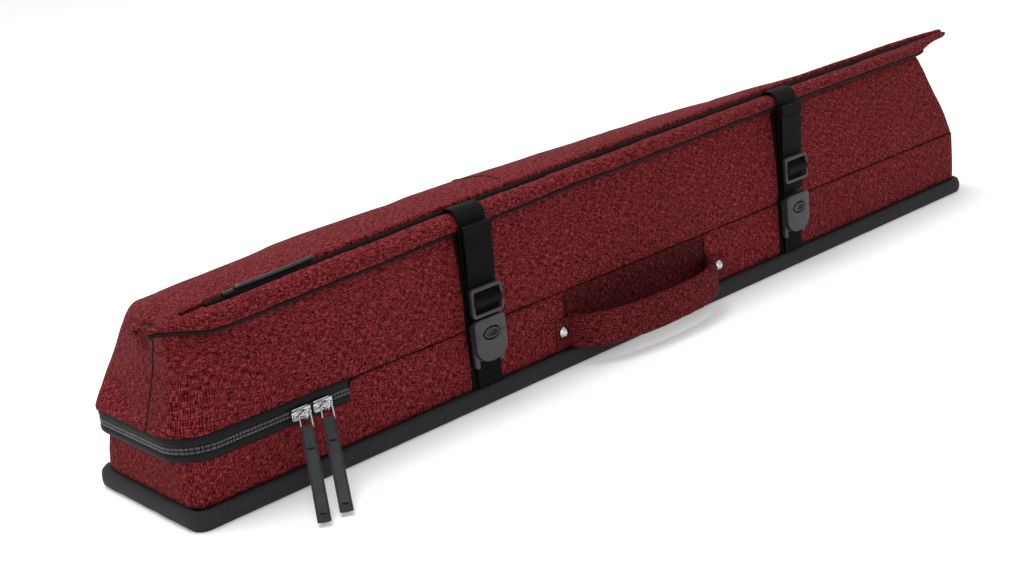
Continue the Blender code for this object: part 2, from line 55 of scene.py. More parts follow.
# %% [markdown]
# The camera stands low at the near end and looks along the case, tipped a little, so that the long
# box runs up across its view. It has a place, three angles and a lens, and the three directions of
# its view are built from the angles.

# %% Camera
def camera_at(place, azimuth, elevation, roll, lens):
    az, el, ro = (math.radians(a) for a in (azimuth, elevation, roll))
    back = Vector((math.sin(az) * math.cos(el), -math.cos(az) * math.cos(el), math.sin(el)))
    side = Vector((math.cos(az), math.sin(az), 0))
    up = back.cross(side)
    right = math.cos(ro) * side + math.sin(ro) * up
    top = math.cos(ro) * up - math.sin(ro) * side
    data = bpy.data.cameras.new("camera")
    data.lens = lens
    data.sensor_width = 36
    data.clip_start = 0.01
    camera = bpy.data.objects.new("camera", data)
    turn = Matrix((right, top, back)).transposed().to_4x4()
    camera.matrix_world = Matrix.Translation(place) @ turn
    bpy.context.scene.collection.objects.link(camera)
    bpy.context.scene.camera = camera
    return camera


camera = camera_at(
    place=(-0.8322, -0.8539, 0.4251), azimuth=-40.7315, elevation=18.4266, roll=-6.4223, lens=54.63,
)
print("camera distance", round((camera.location - Vector((0, 0, 0.07))).length, 3))

# %% [markdown]
# Goods with a dark cloth are best lit on white with large soft lamps. The floor and the sky are both
# white, one wide lamp hangs over the back of the case, and a weaker one fills from the near end.
# The lower half of the front then falls into shade by itself.

# %% Floor and light
def lamp(name, place, aim, size, power):
    data = bpy.data.lights.new(name, "AREA")
    data.shape = "DISK"
    data.size = size
    data.energy = power
    made = bpy.data.objects.new(name, data)
    made.location = place
    made.rotation_euler = (Vector(aim) - Vector(place)).to_track_quat("-Z", "Y").to_euler()
    bpy.context.scene.collection.objects.link(made)
    return made


def white_surroundings(strength):
    world = bpy.data.worlds.new("studio")
    bpy.context.scene.world = world
    world.use_nodes = True
    sky = world.node_tree.nodes["Background"]
    sky.inputs["Color"].default_value = (1, 1, 1, 1)
    sky.inputs["Strength"].default_value = strength


def deselect():
    if bpy.context.object and bpy.context.object.mode != "OBJECT":
        bpy.ops.object.mode_set(mode="OBJECT")
    bpy.ops.object.select_all(action="DESELECT")


deselect()
bpy.ops.mesh.primitive_plane_add(size=40)
floor = bpy.context.object
floor.name = "floor"
floor_paint = bpy.data.materials.new("floor_paint")
floor_paint.use_nodes = True
FLOOR_LOOK = {
    "Base Color": (0.9, 0.9, 0.9, 1), "Roughness": 0.9,
    "Emission Color": (1, 1, 1, 1), "Emission Strength": 0.16,
}
for socket, value in FLOOR_LOOK.items():
    floor_paint.node_tree.nodes["Principled BSDF"].inputs[socket].default_value = value
floor.data.materials.append(floor_paint)
white_surroundings(0.84)
lamp("key", (-0.35, 0.40, 1.8), (-0.05, 0, 0.08), 1.0, 25)
lamp("near_fill", (-1.3, -2.0, 0.7), (-0.2, 0, 0.08), 0.7, 4.5)
bpy.context.scene.view_settings.view_transform = "Standard"

# %% [markdown]
# ## Finishes
# A finish is a small chain of shader nodes. The chains below share one way of adding and joining
# nodes, so each finish reads as a recipe: where the pattern is measured, what the threads or grain
# look like, and how rough the surface is.

# %% A helper for shader recipes
class Recipe:
    """One Principled material and short calls that add nodes to it."""

    def __init__(self, name, roughness=0.5, metallic=0.0, specular=0.5):
        self.made = bpy.data.materials.new(name)
        self.made.use_nodes = True
        self.tree = self.made.node_tree
        self.shader = self.tree.nodes["Principled BSDF"]
        self.shader.inputs["Roughness"].default_value = roughness
        self.shader.inputs["Metallic"].default_value = metallic
        self.shader.inputs["Specular IOR Level"].default_value = specular

    def add(self, kind, **settings):
        node = self.tree.nodes.new(kind)
        for key, value in settings.items():
            setattr(node, key, value)
        return node

    def join(self, out, into):
        self.tree.links.new(out, into)

    def place(self, scale, on="Object"):
        """Object coordinates, or the piece's own cloth map, stretched by a scale for each axis."""
        if on == "Object":
            source = self.add("ShaderNodeTexCoord").outputs["Object"]
        else:
            source = self.add("ShaderNodeUVMap", uv_map=on).outputs["UV"]
        stretch = self.add("ShaderNodeMapping")
        stretch.inputs["Scale"].default_value = scale
        self.join(source, stretch.inputs["Vector"])
        return stretch.outputs["Vector"]

    def noise(self, place, scale=1.0, detail=2.0, rough=0.5):
        node = self.add("ShaderNodeTexNoise")
        node.inputs["Scale"].default_value = scale
        node.inputs["Detail"].default_value = detail
        node.inputs["Roughness"].default_value = rough
        self.join(place, node.inputs["Vector"])
        return node.outputs["Fac"]

    def wave(self, place, scale, direction="X", distortion=0.0):
        node = self.add("ShaderNodeTexWave", bands_direction=direction)
        node.inputs["Scale"].default_value = scale
        node.inputs["Distortion"].default_value = distortion
        self.join(place, node.inputs["Vector"])
        return node.outputs["Fac"]

    def math(self, operation, a, b):
        node = self.add("ShaderNodeMath", operation=operation)
        for socket, value in zip(node.inputs, (a, b)):
            if isinstance(value, (int, float)):
                socket.default_value = value
            else:
                self.join(value, socket)
        return node.outputs[0]

    def ramp(self, fac, *stops):
        node = self.add("ShaderNodeValToRGB")
        band = node.color_ramp
        while len(band.elements) < len(stops):
            band.elements.new(0.5)
        for element, (place, color) in zip(band.elements, stops):
            element.position = place
            element.color = (*color, 1)
        self.join(fac, node.inputs["Fac"])
        return node.outputs["Color"]

    def span(self, fac, low, high):
        node = self.add("ShaderNodeMapRange")
        node.inputs["To Min"].default_value = low
        node.inputs["To Max"].default_value = high
        self.join(fac, node.inputs["Value"])
        return node.outputs["Result"]

    def color(self, out):
        self.join(out, self.shader.inputs["Base Color"])

    def relief(self, height, strength, distance):
        node = self.add("ShaderNodeBump")
        node.inputs["Strength"].default_value = strength
        node.inputs["Distance"].default_value = distance
        self.join(height, node.inputs["Height"])
        self.join(node.outputs["Normal"], self.shader.inputs["Normal"])


print("recipe calls", [n for n in dir(Recipe) if not n.startswith("_")])

# %% [markdown]
# The canvas is a mélange: each yarn is spun from dark and pale fibres, so short slubs of pink, red
# and near-black run both ways across the plain weave. Streaky noises stretched along each thread
# direction make the yarns, a longer one makes the slubs, and a fine grid of bumps makes the
# crossings. The pattern is measured on each piece's own cloth map, so it bends with the fabric.

# %% Maroon canvas
def bands(pitch):
    """The wave texture's scale that repeats its bands at this pitch along X or Y."""
    return math.tau / 20 / pitch


CANVAS_GRID = bands(0.9 * MM)


def dimmed(color, shade):
    return tuple(part * shade for part in color)


def canvas(name, shade=1.0):
    cloth = Recipe(name, roughness=0.88, specular=0.08)
    flat = cloth.place((1, 1, 1), "weave")
    along = cloth.noise(cloth.place((230, 2100, 1), "weave"), 1.0, 1.0)
    across = cloth.noise(cloth.place((2100, 230, 1), "weave"), 1.0, 1.0)
    slubs = cloth.noise(cloth.place((80, 1300, 1), "weave"), 1.0, 1.0)
    yarns = cloth.math("MULTIPLY", cloth.math("ADD", along, across), 0.5)
    yarns = cloth.math("ADD", yarns, cloth.math("MULTIPLY", cloth.math("SUBTRACT", slubs, 0.5), 0.16))
    grid = cloth.math("MULTIPLY", cloth.wave(flat, CANVAS_GRID, "X"), cloth.wave(flat, CANVAS_GRID, "Y"))
    woven = cloth.math("ADD", yarns, cloth.math("MULTIPLY", cloth.math("SUBTRACT", grid, 0.25), 0.11))
    tint = cloth.ramp(
        woven,
        (0.40, dimmed((0.010, 0.0005, 0.0008), shade)),
        (0.46, dimmed((0.052, 0.0022, 0.0032), shade)),
        (0.53, dimmed((0.118, 0.0070, 0.0098), shade)),
        (0.61, dimmed((0.290, 0.044, 0.049), shade)),
    )
    patches = cloth.noise(cloth.place((9, 9, 9)), 1.0, 3.0, 0.55)
    both = cloth.add("ShaderNodeVectorMath", operation="SCALE")
    cloth.join(tint, both.inputs[0])
    cloth.join(cloth.span(patches, 0.80, 1.18), both.inputs["Scale"])
    cloth.color(both.outputs[0])
    cloth.relief(cloth.math("ADD", cloth.math("MULTIPLY", grid, 0.35), yarns), 0.35, 0.0004)
    return cloth.made


CANVAS = canvas("maroon_canvas")
# A darker copy of the canvas is painted shade on the recessed panel behind the grip.
RECESS_SHADE_CANVAS = canvas("maroon_canvas_recess_painted_shade", 0.5)
# A darker copy of the canvas is painted shade on the grip, which stands in shade.
GRIP_SHADE_CANVAS = canvas("maroon_canvas_grip_painted_shade", 0.72)
print("canvas nodes", len(CANVAS.node_tree.nodes))

# %% [markdown]
# The black goods are four different cloths. The edge roll is a charcoal twill, so fine slanting
# ribs run round it. The straps are thick nylon with cross ribs you can count. The zip tape is a
# close flat weave, and the thread of the seams is a twisted line.

# %% Twill, webbing, tape and thread
def twill():
    cloth = Recipe("charcoal_twill", roughness=0.72, specular=0.18)
    ribs = cloth.wave(cloth.place((1, 1, 1), "weave"), bands(0.62 * MM), "DIAGONAL", 0.4)
    fuzz = cloth.noise(cloth.place((500, 500, 500)), 1.0, 2.0)
    mixed = cloth.math("ADD", cloth.math("MULTIPLY", ribs, 0.6), cloth.math("MULTIPLY", fuzz, 0.4))
    cloth.color(cloth.ramp(mixed, (0.2, (0.003, 0.003, 0.004)), (0.8, (0.034, 0.034, 0.039))))
    cloth.relief(mixed, 0.5, 0.0005)
    return cloth.made


def ribbed_webbing():
    cloth = Recipe("ribbed_webbing", roughness=0.55, specular=0.08)
    ribs = cloth.wave(cloth.place((1, 1, 1), "weave"), bands(1.7 * MM), "X")
    threads = cloth.noise(cloth.place((900, 260, 1), "weave"), 1.0, 2.0)
    body = cloth.math("MULTIPLY", ribs, cloth.span(threads, 0.65, 1.1))
    cloth.color(cloth.ramp(body, (0.1, (0.0006, 0.0005, 0.0007)), (0.95, (0.0050, 0.0044, 0.0054))))
    cloth.relief(body, 0.9, 0.0006)
    return cloth.made


def zip_tape():
    cloth = Recipe("zip_tape", roughness=0.62, specular=0.15)
    flat = cloth.place((1, 1, 1), "weave")
    close = bands(0.8 * MM)
    weave = cloth.math("MULTIPLY", cloth.wave(flat, close, "X"), cloth.wave(flat, close, "Y"))
    cloth.color(cloth.ramp(weave, (0.0, (0.003, 0.003, 0.004)), (1.0, (0.013, 0.013, 0.014))))
    cloth.relief(weave, 0.4, 0.0003)
    return cloth.made


def thread(name, tone):
    cord = Recipe(name, roughness=0.7, specular=0.15)
    twist = cord.wave(cord.place((1, 1, 1)), bands(0.8 * MM), "DIAGONAL")
    cord.color(cord.ramp(twist, (0.0, dimmed(tone, 0.5)), (1.0, tone)))
    cord.relief(twist, 0.4, 0.0002)
    return cord.made


TWILL = twill()
WEBBING = ribbed_webbing()
TAPE = zip_tape()
# Dark thread for the seams; it also makes the painted shade lines under the lip.
SEAM_AND_SHADE_THREAD = thread("dark_thread", (0.012, 0.003, 0.004))
RED_THREAD = thread("red_thread", (0.10, 0.013, 0.016))
BLACK_THREAD = thread("black_thread", (0.012, 0.012, 0.013))
print("soft finishes", TWILL.name, WEBBING.name, TAPE.name)

# %% [markdown]
# The hard finishes are a moulded plastic with a faint spark-eroded grain, bright nickel with fine
# polishing marks, a pressed leather with pores, smooth nylon for the zip coils, and the felted and
# rolled boards inside.

# %% Plastic, nickel, leather, nylon and linings
def moulded_plastic():
    hard = Recipe("charcoal_plastic", specular=0.42)
    grain = hard.noise(hard.place((1800, 1800, 1800)), 1.0, 2.0)
    clouds = hard.noise(hard.place((60, 60, 60)), 1.0, 3.0)
    hard.color(hard.ramp(clouds, (0.3, (0.017, 0.0175, 0.021)), (0.75, (0.029, 0.0295, 0.034))))
    hard.join(hard.span(clouds, 0.34, 0.50), hard.shader.inputs["Roughness"])
    hard.relief(grain, 0.15, 0.0001)
    return hard.made


def nickel():
    hard = Recipe("bright_nickel", metallic=1.0)
    marks = hard.noise(hard.place((200, 3000, 700)), 1.0, 3.0)
    hard.color(hard.ramp(marks, (0.3, (0.44, 0.44, 0.45)), (0.7, (0.56, 0.56, 0.57))))
    hard.join(hard.span(marks, 0.10, 0.26), hard.shader.inputs["Roughness"])
    return hard.made


def leather():
    skin = Recipe("dark_leather", specular=0.3)
    pores = skin.add("ShaderNodeTexVoronoi", feature="DISTANCE_TO_EDGE")
    pores.inputs["Scale"].default_value = 1.0
    skin.join(skin.place((1400, 1400, 1400)), pores.inputs["Vector"])
    clouds = skin.noise(skin.place((130, 130, 130)), 1.0, 4.0)
    skin.color(skin.ramp(clouds, (0.3, (0.006, 0.0057, 0.0075)), (0.75, (0.020, 0.019, 0.024))))
    skin.join(skin.span(clouds, 0.42, 0.62), skin.shader.inputs["Roughness"])
    skin.relief(pores.outputs["Distance"], 0.25, 0.0003)
    return skin.made


def nylon(name, low, high):
    hard = Recipe(name, roughness=0.3)
    drawn = hard.noise(hard.place((900, 900, 900)), 1.0, 1.0)
    hard.color(hard.ramp(drawn, (0.3, low), (0.7, high)))
    hard.relief(drawn, 0.1, 0.0001)
    return hard.made


def lining(name, low, high, grain):
    felt = Recipe(name, roughness=0.92)
    fuzz = felt.noise(felt.place((grain, grain, grain)), 1.0, 5.0, 0.7)
    felt.color(felt.ramp(fuzz, (0.3, low), (0.7, high)))
    felt.relief(fuzz, 0.5, 0.0006)
    return felt.made


PLASTIC = moulded_plastic()
NICKEL = nickel()
LEATHER = leather()
NYLON = nylon("black_nylon", (0.007, 0.007, 0.008), (0.020, 0.020, 0.023))
COIL = nylon("coil_nylon", (0.055, 0.055, 0.058), (0.120, 0.120, 0.125))
FELT = lining("grey_felt", (0.012, 0.012, 0.014), (0.040, 0.040, 0.044), 420)
BOARD = lining("pressed_board", (0.010, 0.010, 0.011), (0.026, 0.026, 0.028), 160)
print("hard finishes", PLASTIC.name, NICKEL.name, LEATHER.name)

# %% [markdown]
# ## Cloth from rows of points
# Sewn panels have no primitive that is close to them, so each is laid out as rows of points and
# skinned with quads. The same step records how far along and across the cloth each point is, and
# that cloth map carries the weave. A panel then gets a real thickness.

# %% Skin rows of points
def new_piece(name, bm):
    """Turns a finished bmesh into an object of the scene."""
    mesh = bpy.data.meshes.new(name)
    bm.to_mesh(mesh)
    bm.free()
    made = bpy.data.objects.new(name, mesh)
    bpy.context.scene.collection.objects.link(made)
    return made


def steps_between(start, end, count):
    """Even stations from start to end, both included."""
    return [start + (end - start) * k / count for k in range(count + 1)]


def circle(count):
    """Cosine and sine of even angles once round."""
    return [(math.cos(math.tau * k / count), math.sin(math.tau * k / count)) for k in range(count)]


def arc(cx, cy, radius, start, sweep, steps):
    """Points on a circle's arc, with its angles in degrees."""
    turns = [math.radians(start + sweep * k / steps) for k in range(steps + 1)]
    return [(cx + radius * math.cos(a), cy + radius * math.sin(a)) for a in turns]


def lay_cloth(name, rows, ring=False, flip=False):
    """Quads through rows of points, with a cloth map in metres. ring joins each row's ends."""
    count = len(rows[0])
    steps = count if ring else count - 1
    across = []
    for row in rows:
        run = [0.0]
        for k in range(steps):
            run.append(run[-1] + (Vector(row[(k + 1) % count]) - Vector(row[k])).length)
        across.append(run)
    along = [[0.0] * (steps + 1)]
    for lower, upper in zip(rows, rows[1:]):
        gone = [(Vector(upper[k % count]) - Vector(lower[k % count])).length for k in range(steps + 1)]
        mean = sum(gone) / len(gone)
        along.append([a + mean for a in along[-1]])
    bm = bmesh.new()
    sheet = bm.loops.layers.uv.new("weave")
    grid = [[bm.verts.new(p) for p in row] for row in rows]
    for i in range(len(rows) - 1):
        for k in range(steps):
            n = (k + 1) % count
            corners = [(i, k, k), (i + 1, k, k), (i + 1, n, k + 1), (i, n, k + 1)]
            if flip:
                corners.reverse()
            face = bm.faces.new([grid[a][b] for a, b, _ in corners])
            face.smooth = True
            for loop, (a, _, c) in zip(face.loops, corners):
                loop[sheet].uv = (along[a][c], across[a][c])
    return new_piece(name, bm)


print("a quarter turn takes", len(arc(0, 0, 1, 0, 90, 8)), "points")

# %% [markdown]
# A skin is finished the way a sewn piece is: its ends are closed, its seams are joined, it gets a
# wall and a little slack, and then its finish. These calls do one of those jobs each.

# %% Close, weld, thicken and dress
def close_ends(made):
    """Fills the open ends of a ring-shaped skin."""
    bm = bmesh.new()
    bm.from_mesh(made.data)
    sheet = bm.loops.layers.uv["weave"]
    rim = [e for e in bm.edges if e.is_boundary]
    filled = bmesh.ops.holes_fill(bm, edges=rim)["faces"]
    for face in filled:
        face.smooth = True
        for loop in face.loops:
            loop[sheet].uv = (loop.vert.co.y, loop.vert.co.z)
    bmesh.ops.recalc_face_normals(bm, faces=bm.faces)
    bm.to_mesh(made.data)
    bm.free()


def take(made):
    """Makes a piece the only one selected."""
    deselect()
    bpy.context.view_layer.objects.active = made
    made.select_set(True)


def settle(made):
    """Applies every modifier and leaves the place of the piece in its mesh."""
    take(made)
    for modifier in list(made.modifiers):
        bpy.ops.object.modifier_apply(modifier=modifier.name)
    bpy.ops.object.transform_apply(location=True, rotation=True, scale=True)
    return made


def weld(made, gap):
    """Joins points that lie within a gap of each other and turns every face outwards."""
    take(made)
    bpy.ops.object.mode_set(mode="EDIT")
    bpy.ops.mesh.select_all(action="SELECT")
    bpy.ops.mesh.remove_doubles(threshold=gap)
    bpy.ops.mesh.normals_make_consistent(inside=False)
    bpy.ops.object.mode_set(mode="OBJECT")


def thicken(made, wall, offset=-1.0):
    shell = made.modifiers.new("wall", "SOLIDIFY")
    shell.thickness = wall
    shell.offset = offset
    shell.use_even_offset = False
    return settle(made)


def ripple(made, height, size):
    """Moves points in and out along their normals by a smooth noise, as slack cloth does."""
    made.data.update()
    moves = [v.normal * height * noise.noise(v.co / size) for v in made.data.vertices]
    for vertex, move in zip(made.data.vertices, moves):
        vertex.co += move
    made.data.update()


def dress(made, finish, slot, body=None, covers=()):
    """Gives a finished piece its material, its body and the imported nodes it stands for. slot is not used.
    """
    made.data.materials.clear()
    made.data.materials.append(finish)
    if body:
        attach(made, body)
    if covers:
        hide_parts(*covers)
    return made


print("pieces are finished by", dress.__name__)

# %% [markdown]
# Most outlines are a few control points joined by a rounded line, and most changes along the case
# are either a straight-line table or a smooth step.

# %% Rounded lines, tables and smooth steps
def smooth_line(points, steps):
    """A rounded line through control points, as a chain of Catmull-Rom spans."""
    out = []
    last = len(points) - 1
    for i in range(last):
        p0, p1 = Vector(points[max(i - 1, 0)]), Vector(points[i])
        p2, p3 = Vector(points[i + 1]), Vector(points[min(i + 2, last)])
        for s in range(steps):
            t = s / steps
            out.append(
                0.5 * (2 * p1 + (p2 - p0) * t + (2 * p0 - 5 * p1 + 4 * p2 - p3) * t ** 2
                       + (3 * p1 - p0 - 3 * p2 + p3) * t ** 3)
            )
    out.append(Vector(points[-1]))
    return out


def smooth_pairs(pairs, steps):
    """The same rounded line for a flat outline, as pairs of numbers."""
    return [(p.x, p.y) for p in smooth_line([(a, b, 0) for a, b in pairs], steps)]


def between(x, stops):
    """Straight-line value at x from (x, value) stops."""
    if x <= stops[0][0]:
        return stops[0][1]
    for (x0, v0), (x1, v1) in zip(stops, stops[1:]):
        if x <= x1:
            return v0 + (v1 - v0) * (x - x0) / (x1 - x0)
    return stops[-1][1]


def eased(x, low, high):
    """Goes smoothly from 0 at low to 1 at high."""
    t = min(max((x - low) / (high - low), 0.0), 1.0)
    return t * t * (3 - 2 * t)


print("half way up a smooth step", eased(0.5, 0.0, 1.0))

# %% [markdown]
# ## The soft pocket
# The pocket is one bag: a tall front, a roof that falls away to a rounded back, a near end that
# leans in, and a far end cut back on a slant. Its section changes slowly, so it is drawn once as a
# rounded line and moved along the case. At each end the section draws in round the corner and a
# flat panel closes it.

# %% The section of the pocket
LIP_LINE = [(-0.415, 0.1345), (-0.30, 0.139), (-0.18, 0.143), (0.0, 0.147), (0.2, 0.150), (0.43, 0.152)]
RIDGE_LINE = [(-0.40, 0.129), (-0.30, 0.135), (-0.18, 0.138), (0.0, 0.138), (0.2, 0.135), (0.38, 0.126)]
SEAM_Z = 57.4 * MM
NEAR_END, FAR_END = -0.4245, 0.420


def lip_top(x):
    return between(x, LIP_LINE)


def pocket_section(x):
    top, ridge = lip_top(x) / MM, between(x, RIDGE_LINE) / MM
    knots = [
        (-57.2, 57.4), (-58.3, 63), (-58.8, 76), (-58.7, 92), (-58.0, 106), (-56.9, 116),
        (-55.0, top - 15.5), (-53.0, top - 12), (-50.6, top - 7.5), (-47.4, top - 3.2), (-43.6, top - 0.9),
        (-34, 0.85 * top + 0.15 * ridge + 0.8), (-20, 0.68 * top + 0.32 * ridge + 1.6),
        (-6, 0.45 * top + 0.55 * ridge + 2), (8, 0.2 * top + 0.8 * ridge + 1.6), (22, ridge),
        (32, ridge - 3), (40, ridge - 7.6), (46.5, ridge - 14), (51.2, ridge - 22), (54.4, ridge - 32),
        (56.2, ridge - 44), (57.2, 76), (57.2, 66), (57.0, 57.4),
    ]
    return [Vector((y * MM, z * MM)) for y, z in smooth_pairs(knots, 3)]


def near_end(p):
    """How far the near end panel reaches: it leans in, more so towards the back."""
    lean = between(p.x, [(-0.045, 0.10), (-0.029, 0.20), (0.020, 0.29), (0.043, 0.42)])
    rise = min(max(p.y - 0.060, 0) / 0.070, 1)
    return NEAR_END + 0.070 * lean * (rise + 0.20 * math.sin(math.pi * rise))


def far_end(p):
    return FAR_END - (p.y - SEAM_Z) * 0.60


def drawn_in(section, radii, turn):
    """The section moved inwards round a corner: turn is 90 on the end panel and 0 on the side."""
    out = []
    last = len(section) - 1
    for k, p in enumerate(section):
        before, after = section[max(k - 1, 0)], section[min(k + 1, last)]
        tangent = (after - before).normalized()
        inward = Vector((tangent.y, -tangent.x))
        if k < 6 or k > last - 6:
            inward = Vector((-math.copysign(1, p.x), 0))
        out.append(p + inward * radii[k] * (1 - math.cos(math.radians(turn))))
    return out


sample = pocket_section(0.0)
print("section points", len(sample), "height mm", round(max(p.y for p in sample) / MM, 1))

# %% [markdown]
# The bag is skinned in three runs of rows: round the near corner, along the case, and round the far
# corner. The two end panels close the first and the last row, and the seams are then welded.

# %% Rows of the pocket
def corner_radii(section, low, high, back):
    """A corner radius for each point: low at the foot of the front, high at its top, then back."""
    last = len(section) - 1
    stops = [(0.0, low), (0.14, low * 0.8), (0.24, high), (0.42, high), (0.55, back), (1.0, back)]
    return [between(k / last, stops) for k in range(last + 1)]


def corner_row(section, radii, turn, end, inward):
    """One row on the way round a corner. end gives where the panel is, inward which way the case is."""
    back = 1 - math.sin(math.radians(turn))
    points = drawn_in(section, radii, turn)
    return [(end(p) + inward * r * back, p.x, p.y) for p, r in zip(points, radii)]


def pocket_rows():
    turns, far_turns, stations = 8, 5, 150
    nominal_near, nominal_far = -0.408, 0.372
    section, far_section = pocket_section(nominal_near), pocket_section(nominal_far)
    near_radii = corner_radii(section, 0.027, 0.0065, 0.012)
    far_radii = corner_radii(far_section, 0.006, 0.006, 0.008)
    rows = [corner_row(section, near_radii, 90 * (1 - k / turns), near_end, 1) for k in range(turns)]
    for t in steps_between(0.0, 1.0, stations):
        points = pocket_section(nominal_near + (nominal_far - nominal_near) * t)
        rows.append([
            ((near_end(p) + a) * (1 - t) + (far_end(p) - b) * t, p.x, p.y)
            for p, a, b in zip(points, near_radii, far_radii)
        ])
    for k in range(1, far_turns + 1):
        rows.append(corner_row(far_section, far_radii, 90 * k / far_turns, far_end, -1))
    return rows


def end_panel(row, columns, bulge):
    """Rows that close a section: each joins a point of the front to its partner at the back."""
    last = len(row) - 1
    rows = []
    for k in range(last // 2 + 1):
        a, b = Vector(row[k]), Vector(row[last - k])
        line = []
        fullness = math.sin(math.pi * min(k / (last / 2), 1) * 0.9 + 0.1)
        for t in steps_between(0.0, 1.0, columns):
            point = a.lerp(b, t)
            point.x += bulge * math.sin(math.pi * t) * fullness
            line.append(point)
        rows.append(line)
    return rows


rows = pocket_rows()
bag = lay_cloth("pocket_cloth", rows, flip=True)
END_COLUMNS = 26
near_panel = lay_cloth("near_panel", end_panel(rows[0], END_COLUMNS, -1.2 * MM), flip=True)
far_panel = lay_cloth("far_panel", end_panel(rows[-1], END_COLUMNS, 0.8 * MM))
take(bag)
near_panel.select_set(True)
far_panel.select_set(True)
bpy.ops.object.join()
weld(bag, 0.04 * MM)
print("pocket faces", len(bag.data.polygons))

# %% [markdown]
# Slack canvas never lies flat. Two sizes of noise push the cloth in and out, a few long soft folds
# are pressed in near the lifting end, and the straps pinch it a little where they cross the top.

# %% Slack, folds and the pinch of the straps
STRAP_X = (-0.180, 0.168)


def fold(p, start, end, width, depth):
    """Depth of a long soft fold between two points, at p."""
    a, b = Vector(start), Vector(end)
    t = min(max((p - a).dot(b - a) / (b - a).length_squared, 0), 1)
    away = (p - a.lerp(b, t)).length
    return depth * math.exp(-(away / width) ** 2) * math.sin(math.pi * (0.08 + 0.84 * t))


FOLDS = [
    ((-0.420, 0.045, 0.078), (-0.418, -0.005, 0.066), 0.007, 0.0045),
    ((-0.414, 0.030, 0.100), (-0.420, 0.000, 0.086), 0.006, -0.0034),
    ((-0.404, 0.026, 0.120), (-0.414, -0.020, 0.112), 0.005, 0.0050),
    ((-0.400, 0.010, 0.130), (-0.412, -0.030, 0.122), 0.004, -0.0034),
    ((-0.412, -0.049, 0.1225), (-0.338, -0.0570, 0.1185), 0.0035, -0.0030),
    ((-0.412, -0.030, 0.128), (-0.385, 0.010, 0.136), 0.007, -0.0018),
    ((-0.410, -0.050, 0.118), (-0.360, -0.058, 0.112), 0.008, 0.0020),
    ((-0.405, -0.052, 0.100), (-0.350, -0.058, 0.118), 0.010, -0.0010),
    ((-0.416, -0.045, 0.090), (-0.390, -0.058, 0.066), 0.010, 0.0012),
    ((-0.330, -0.058, 0.086), (-0.120, -0.059, 0.094), 0.012, 0.0007),
    ((0.200, -0.058, 0.092), (0.390, -0.058, 0.078), 0.012, 0.0008),
    ((-0.150, -0.058, 0.120), (0.120, -0.058, 0.124), 0.009, 0.0008),
]


def slack(bag):
    bag.data.update()
    normals = [v.normal.copy() for v in bag.data.vertices]
    for vertex, normal in zip(bag.data.vertices, normals):
        p = vertex.co.copy()
        held = eased(p.z, 0.0575, 0.066)
        push = 0.9 * MM * noise.noise(p / 0.060) + 0.35 * MM * noise.noise(p / 0.019)
        push += 0.7 * MM * noise.noise(Vector((p.x / 0.11, 3.0, p.z / 0.022)))
        push -= sum(fold(p, *line) for line in FOLDS)
        for strap in STRAP_X:
            push -= 0.9 * MM * math.exp(-((p.x - strap) / 0.016) ** 2) * eased(p.z, 0.10, 0.13)
        vertex.co += normal * push * held
    bag.data.update()


slack(bag)
thicken(bag, 2.2 * MM)
print("pocket after its wall", len(bag.data.polygons), "faces")

# %% [markdown]
# The mouth is a long slit behind the padded lip. It is cut with a thin block that is taken away
# from the cloth: wide under the lip that turns out, narrow under the lip that stays on the lifting
# end.

# %% Cut the mouth
HINGE_X = -0.262


def lifts(made):
    """For a piece on the lifting end; it bakes the piece's place into its mesh and adds no motion."""
    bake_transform(made)


def turns_out(made):
    """For a piece on the lip that turns out; it bakes the piece's place into its mesh and adds no motion."""
    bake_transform(made)


def block(name, low, high):
    deselect()
    low, high = Vector(low), Vector(high)
    bpy.ops.mesh.primitive_cube_add(size=1, location=(low + high) / 2)
    made = bpy.context.object
    made.name = name
    made.scale = high - low
    bpy.ops.object.transform_apply(location=True, rotation=True, scale=True)
    return made


def cut_away(made, *blocks):
    for tool in blocks:
        knife = made.modifiers.new("cut", "BOOLEAN")
        knife.operation = "DIFFERENCE"
        knife.solver = "EXACT"
        knife.object = tool
        take(made)
        bpy.ops.object.modifier_apply(modifier=knife.name)
        bpy.data.objects.remove(tool)


SLIT_Z = (0.11, 0.18)
SLIT_BACK = -43.6 * MM
cut_away(
    bag,
    block("wide_slit", (HINGE_X, -52.4 * MM, SLIT_Z[0]), (0.358, SLIT_BACK, SLIT_Z[1])),
    block("narrow_slit", (-0.385, -46.4 * MM, SLIT_Z[0]), (-0.2615, SLIT_BACK, SLIT_Z[1])),
)
dress(bag, CANVAS, "canvas", covers=(
    "pocket_front", "pocket_roof", "pocket_back", "pocket_far_end", "hood_shell", "fold_cloth",
))
lifts(bag)
print("mouth cut:", len(bag.data.polygons), "faces")

# %% [markdown]
# ## The padded lip
# The lip is a strip of canvas folded over a thin roll. It runs the whole length of the mouth and
# ends in a free pointed ear at the far end. It is drawn as a ring of points carried along the
# mouth. Two pieces meet over the fixed pocket: one lifts with the near end, the other turns out.

# %% The lip
LIP_RING = [
    (-53.5, -12.0), (-57.0, -12.7), (-59.5, -11.8), (-60.7, -9.2), (-60.9, -6.2), (-60.0, -3.2),
    (-57.8, -1.0), (-54.6, 0.2), (-51.4, 0.3), (-49.0, -0.6), (-48.2, -2.4), (-48.8, -4.6),
    (-50.6, -7.0), (-51.6, -10.0),
]


LIP_MIDDLE = Vector((-54.5, -6.2))
LIP_ENDS = -0.4270, 0.4275


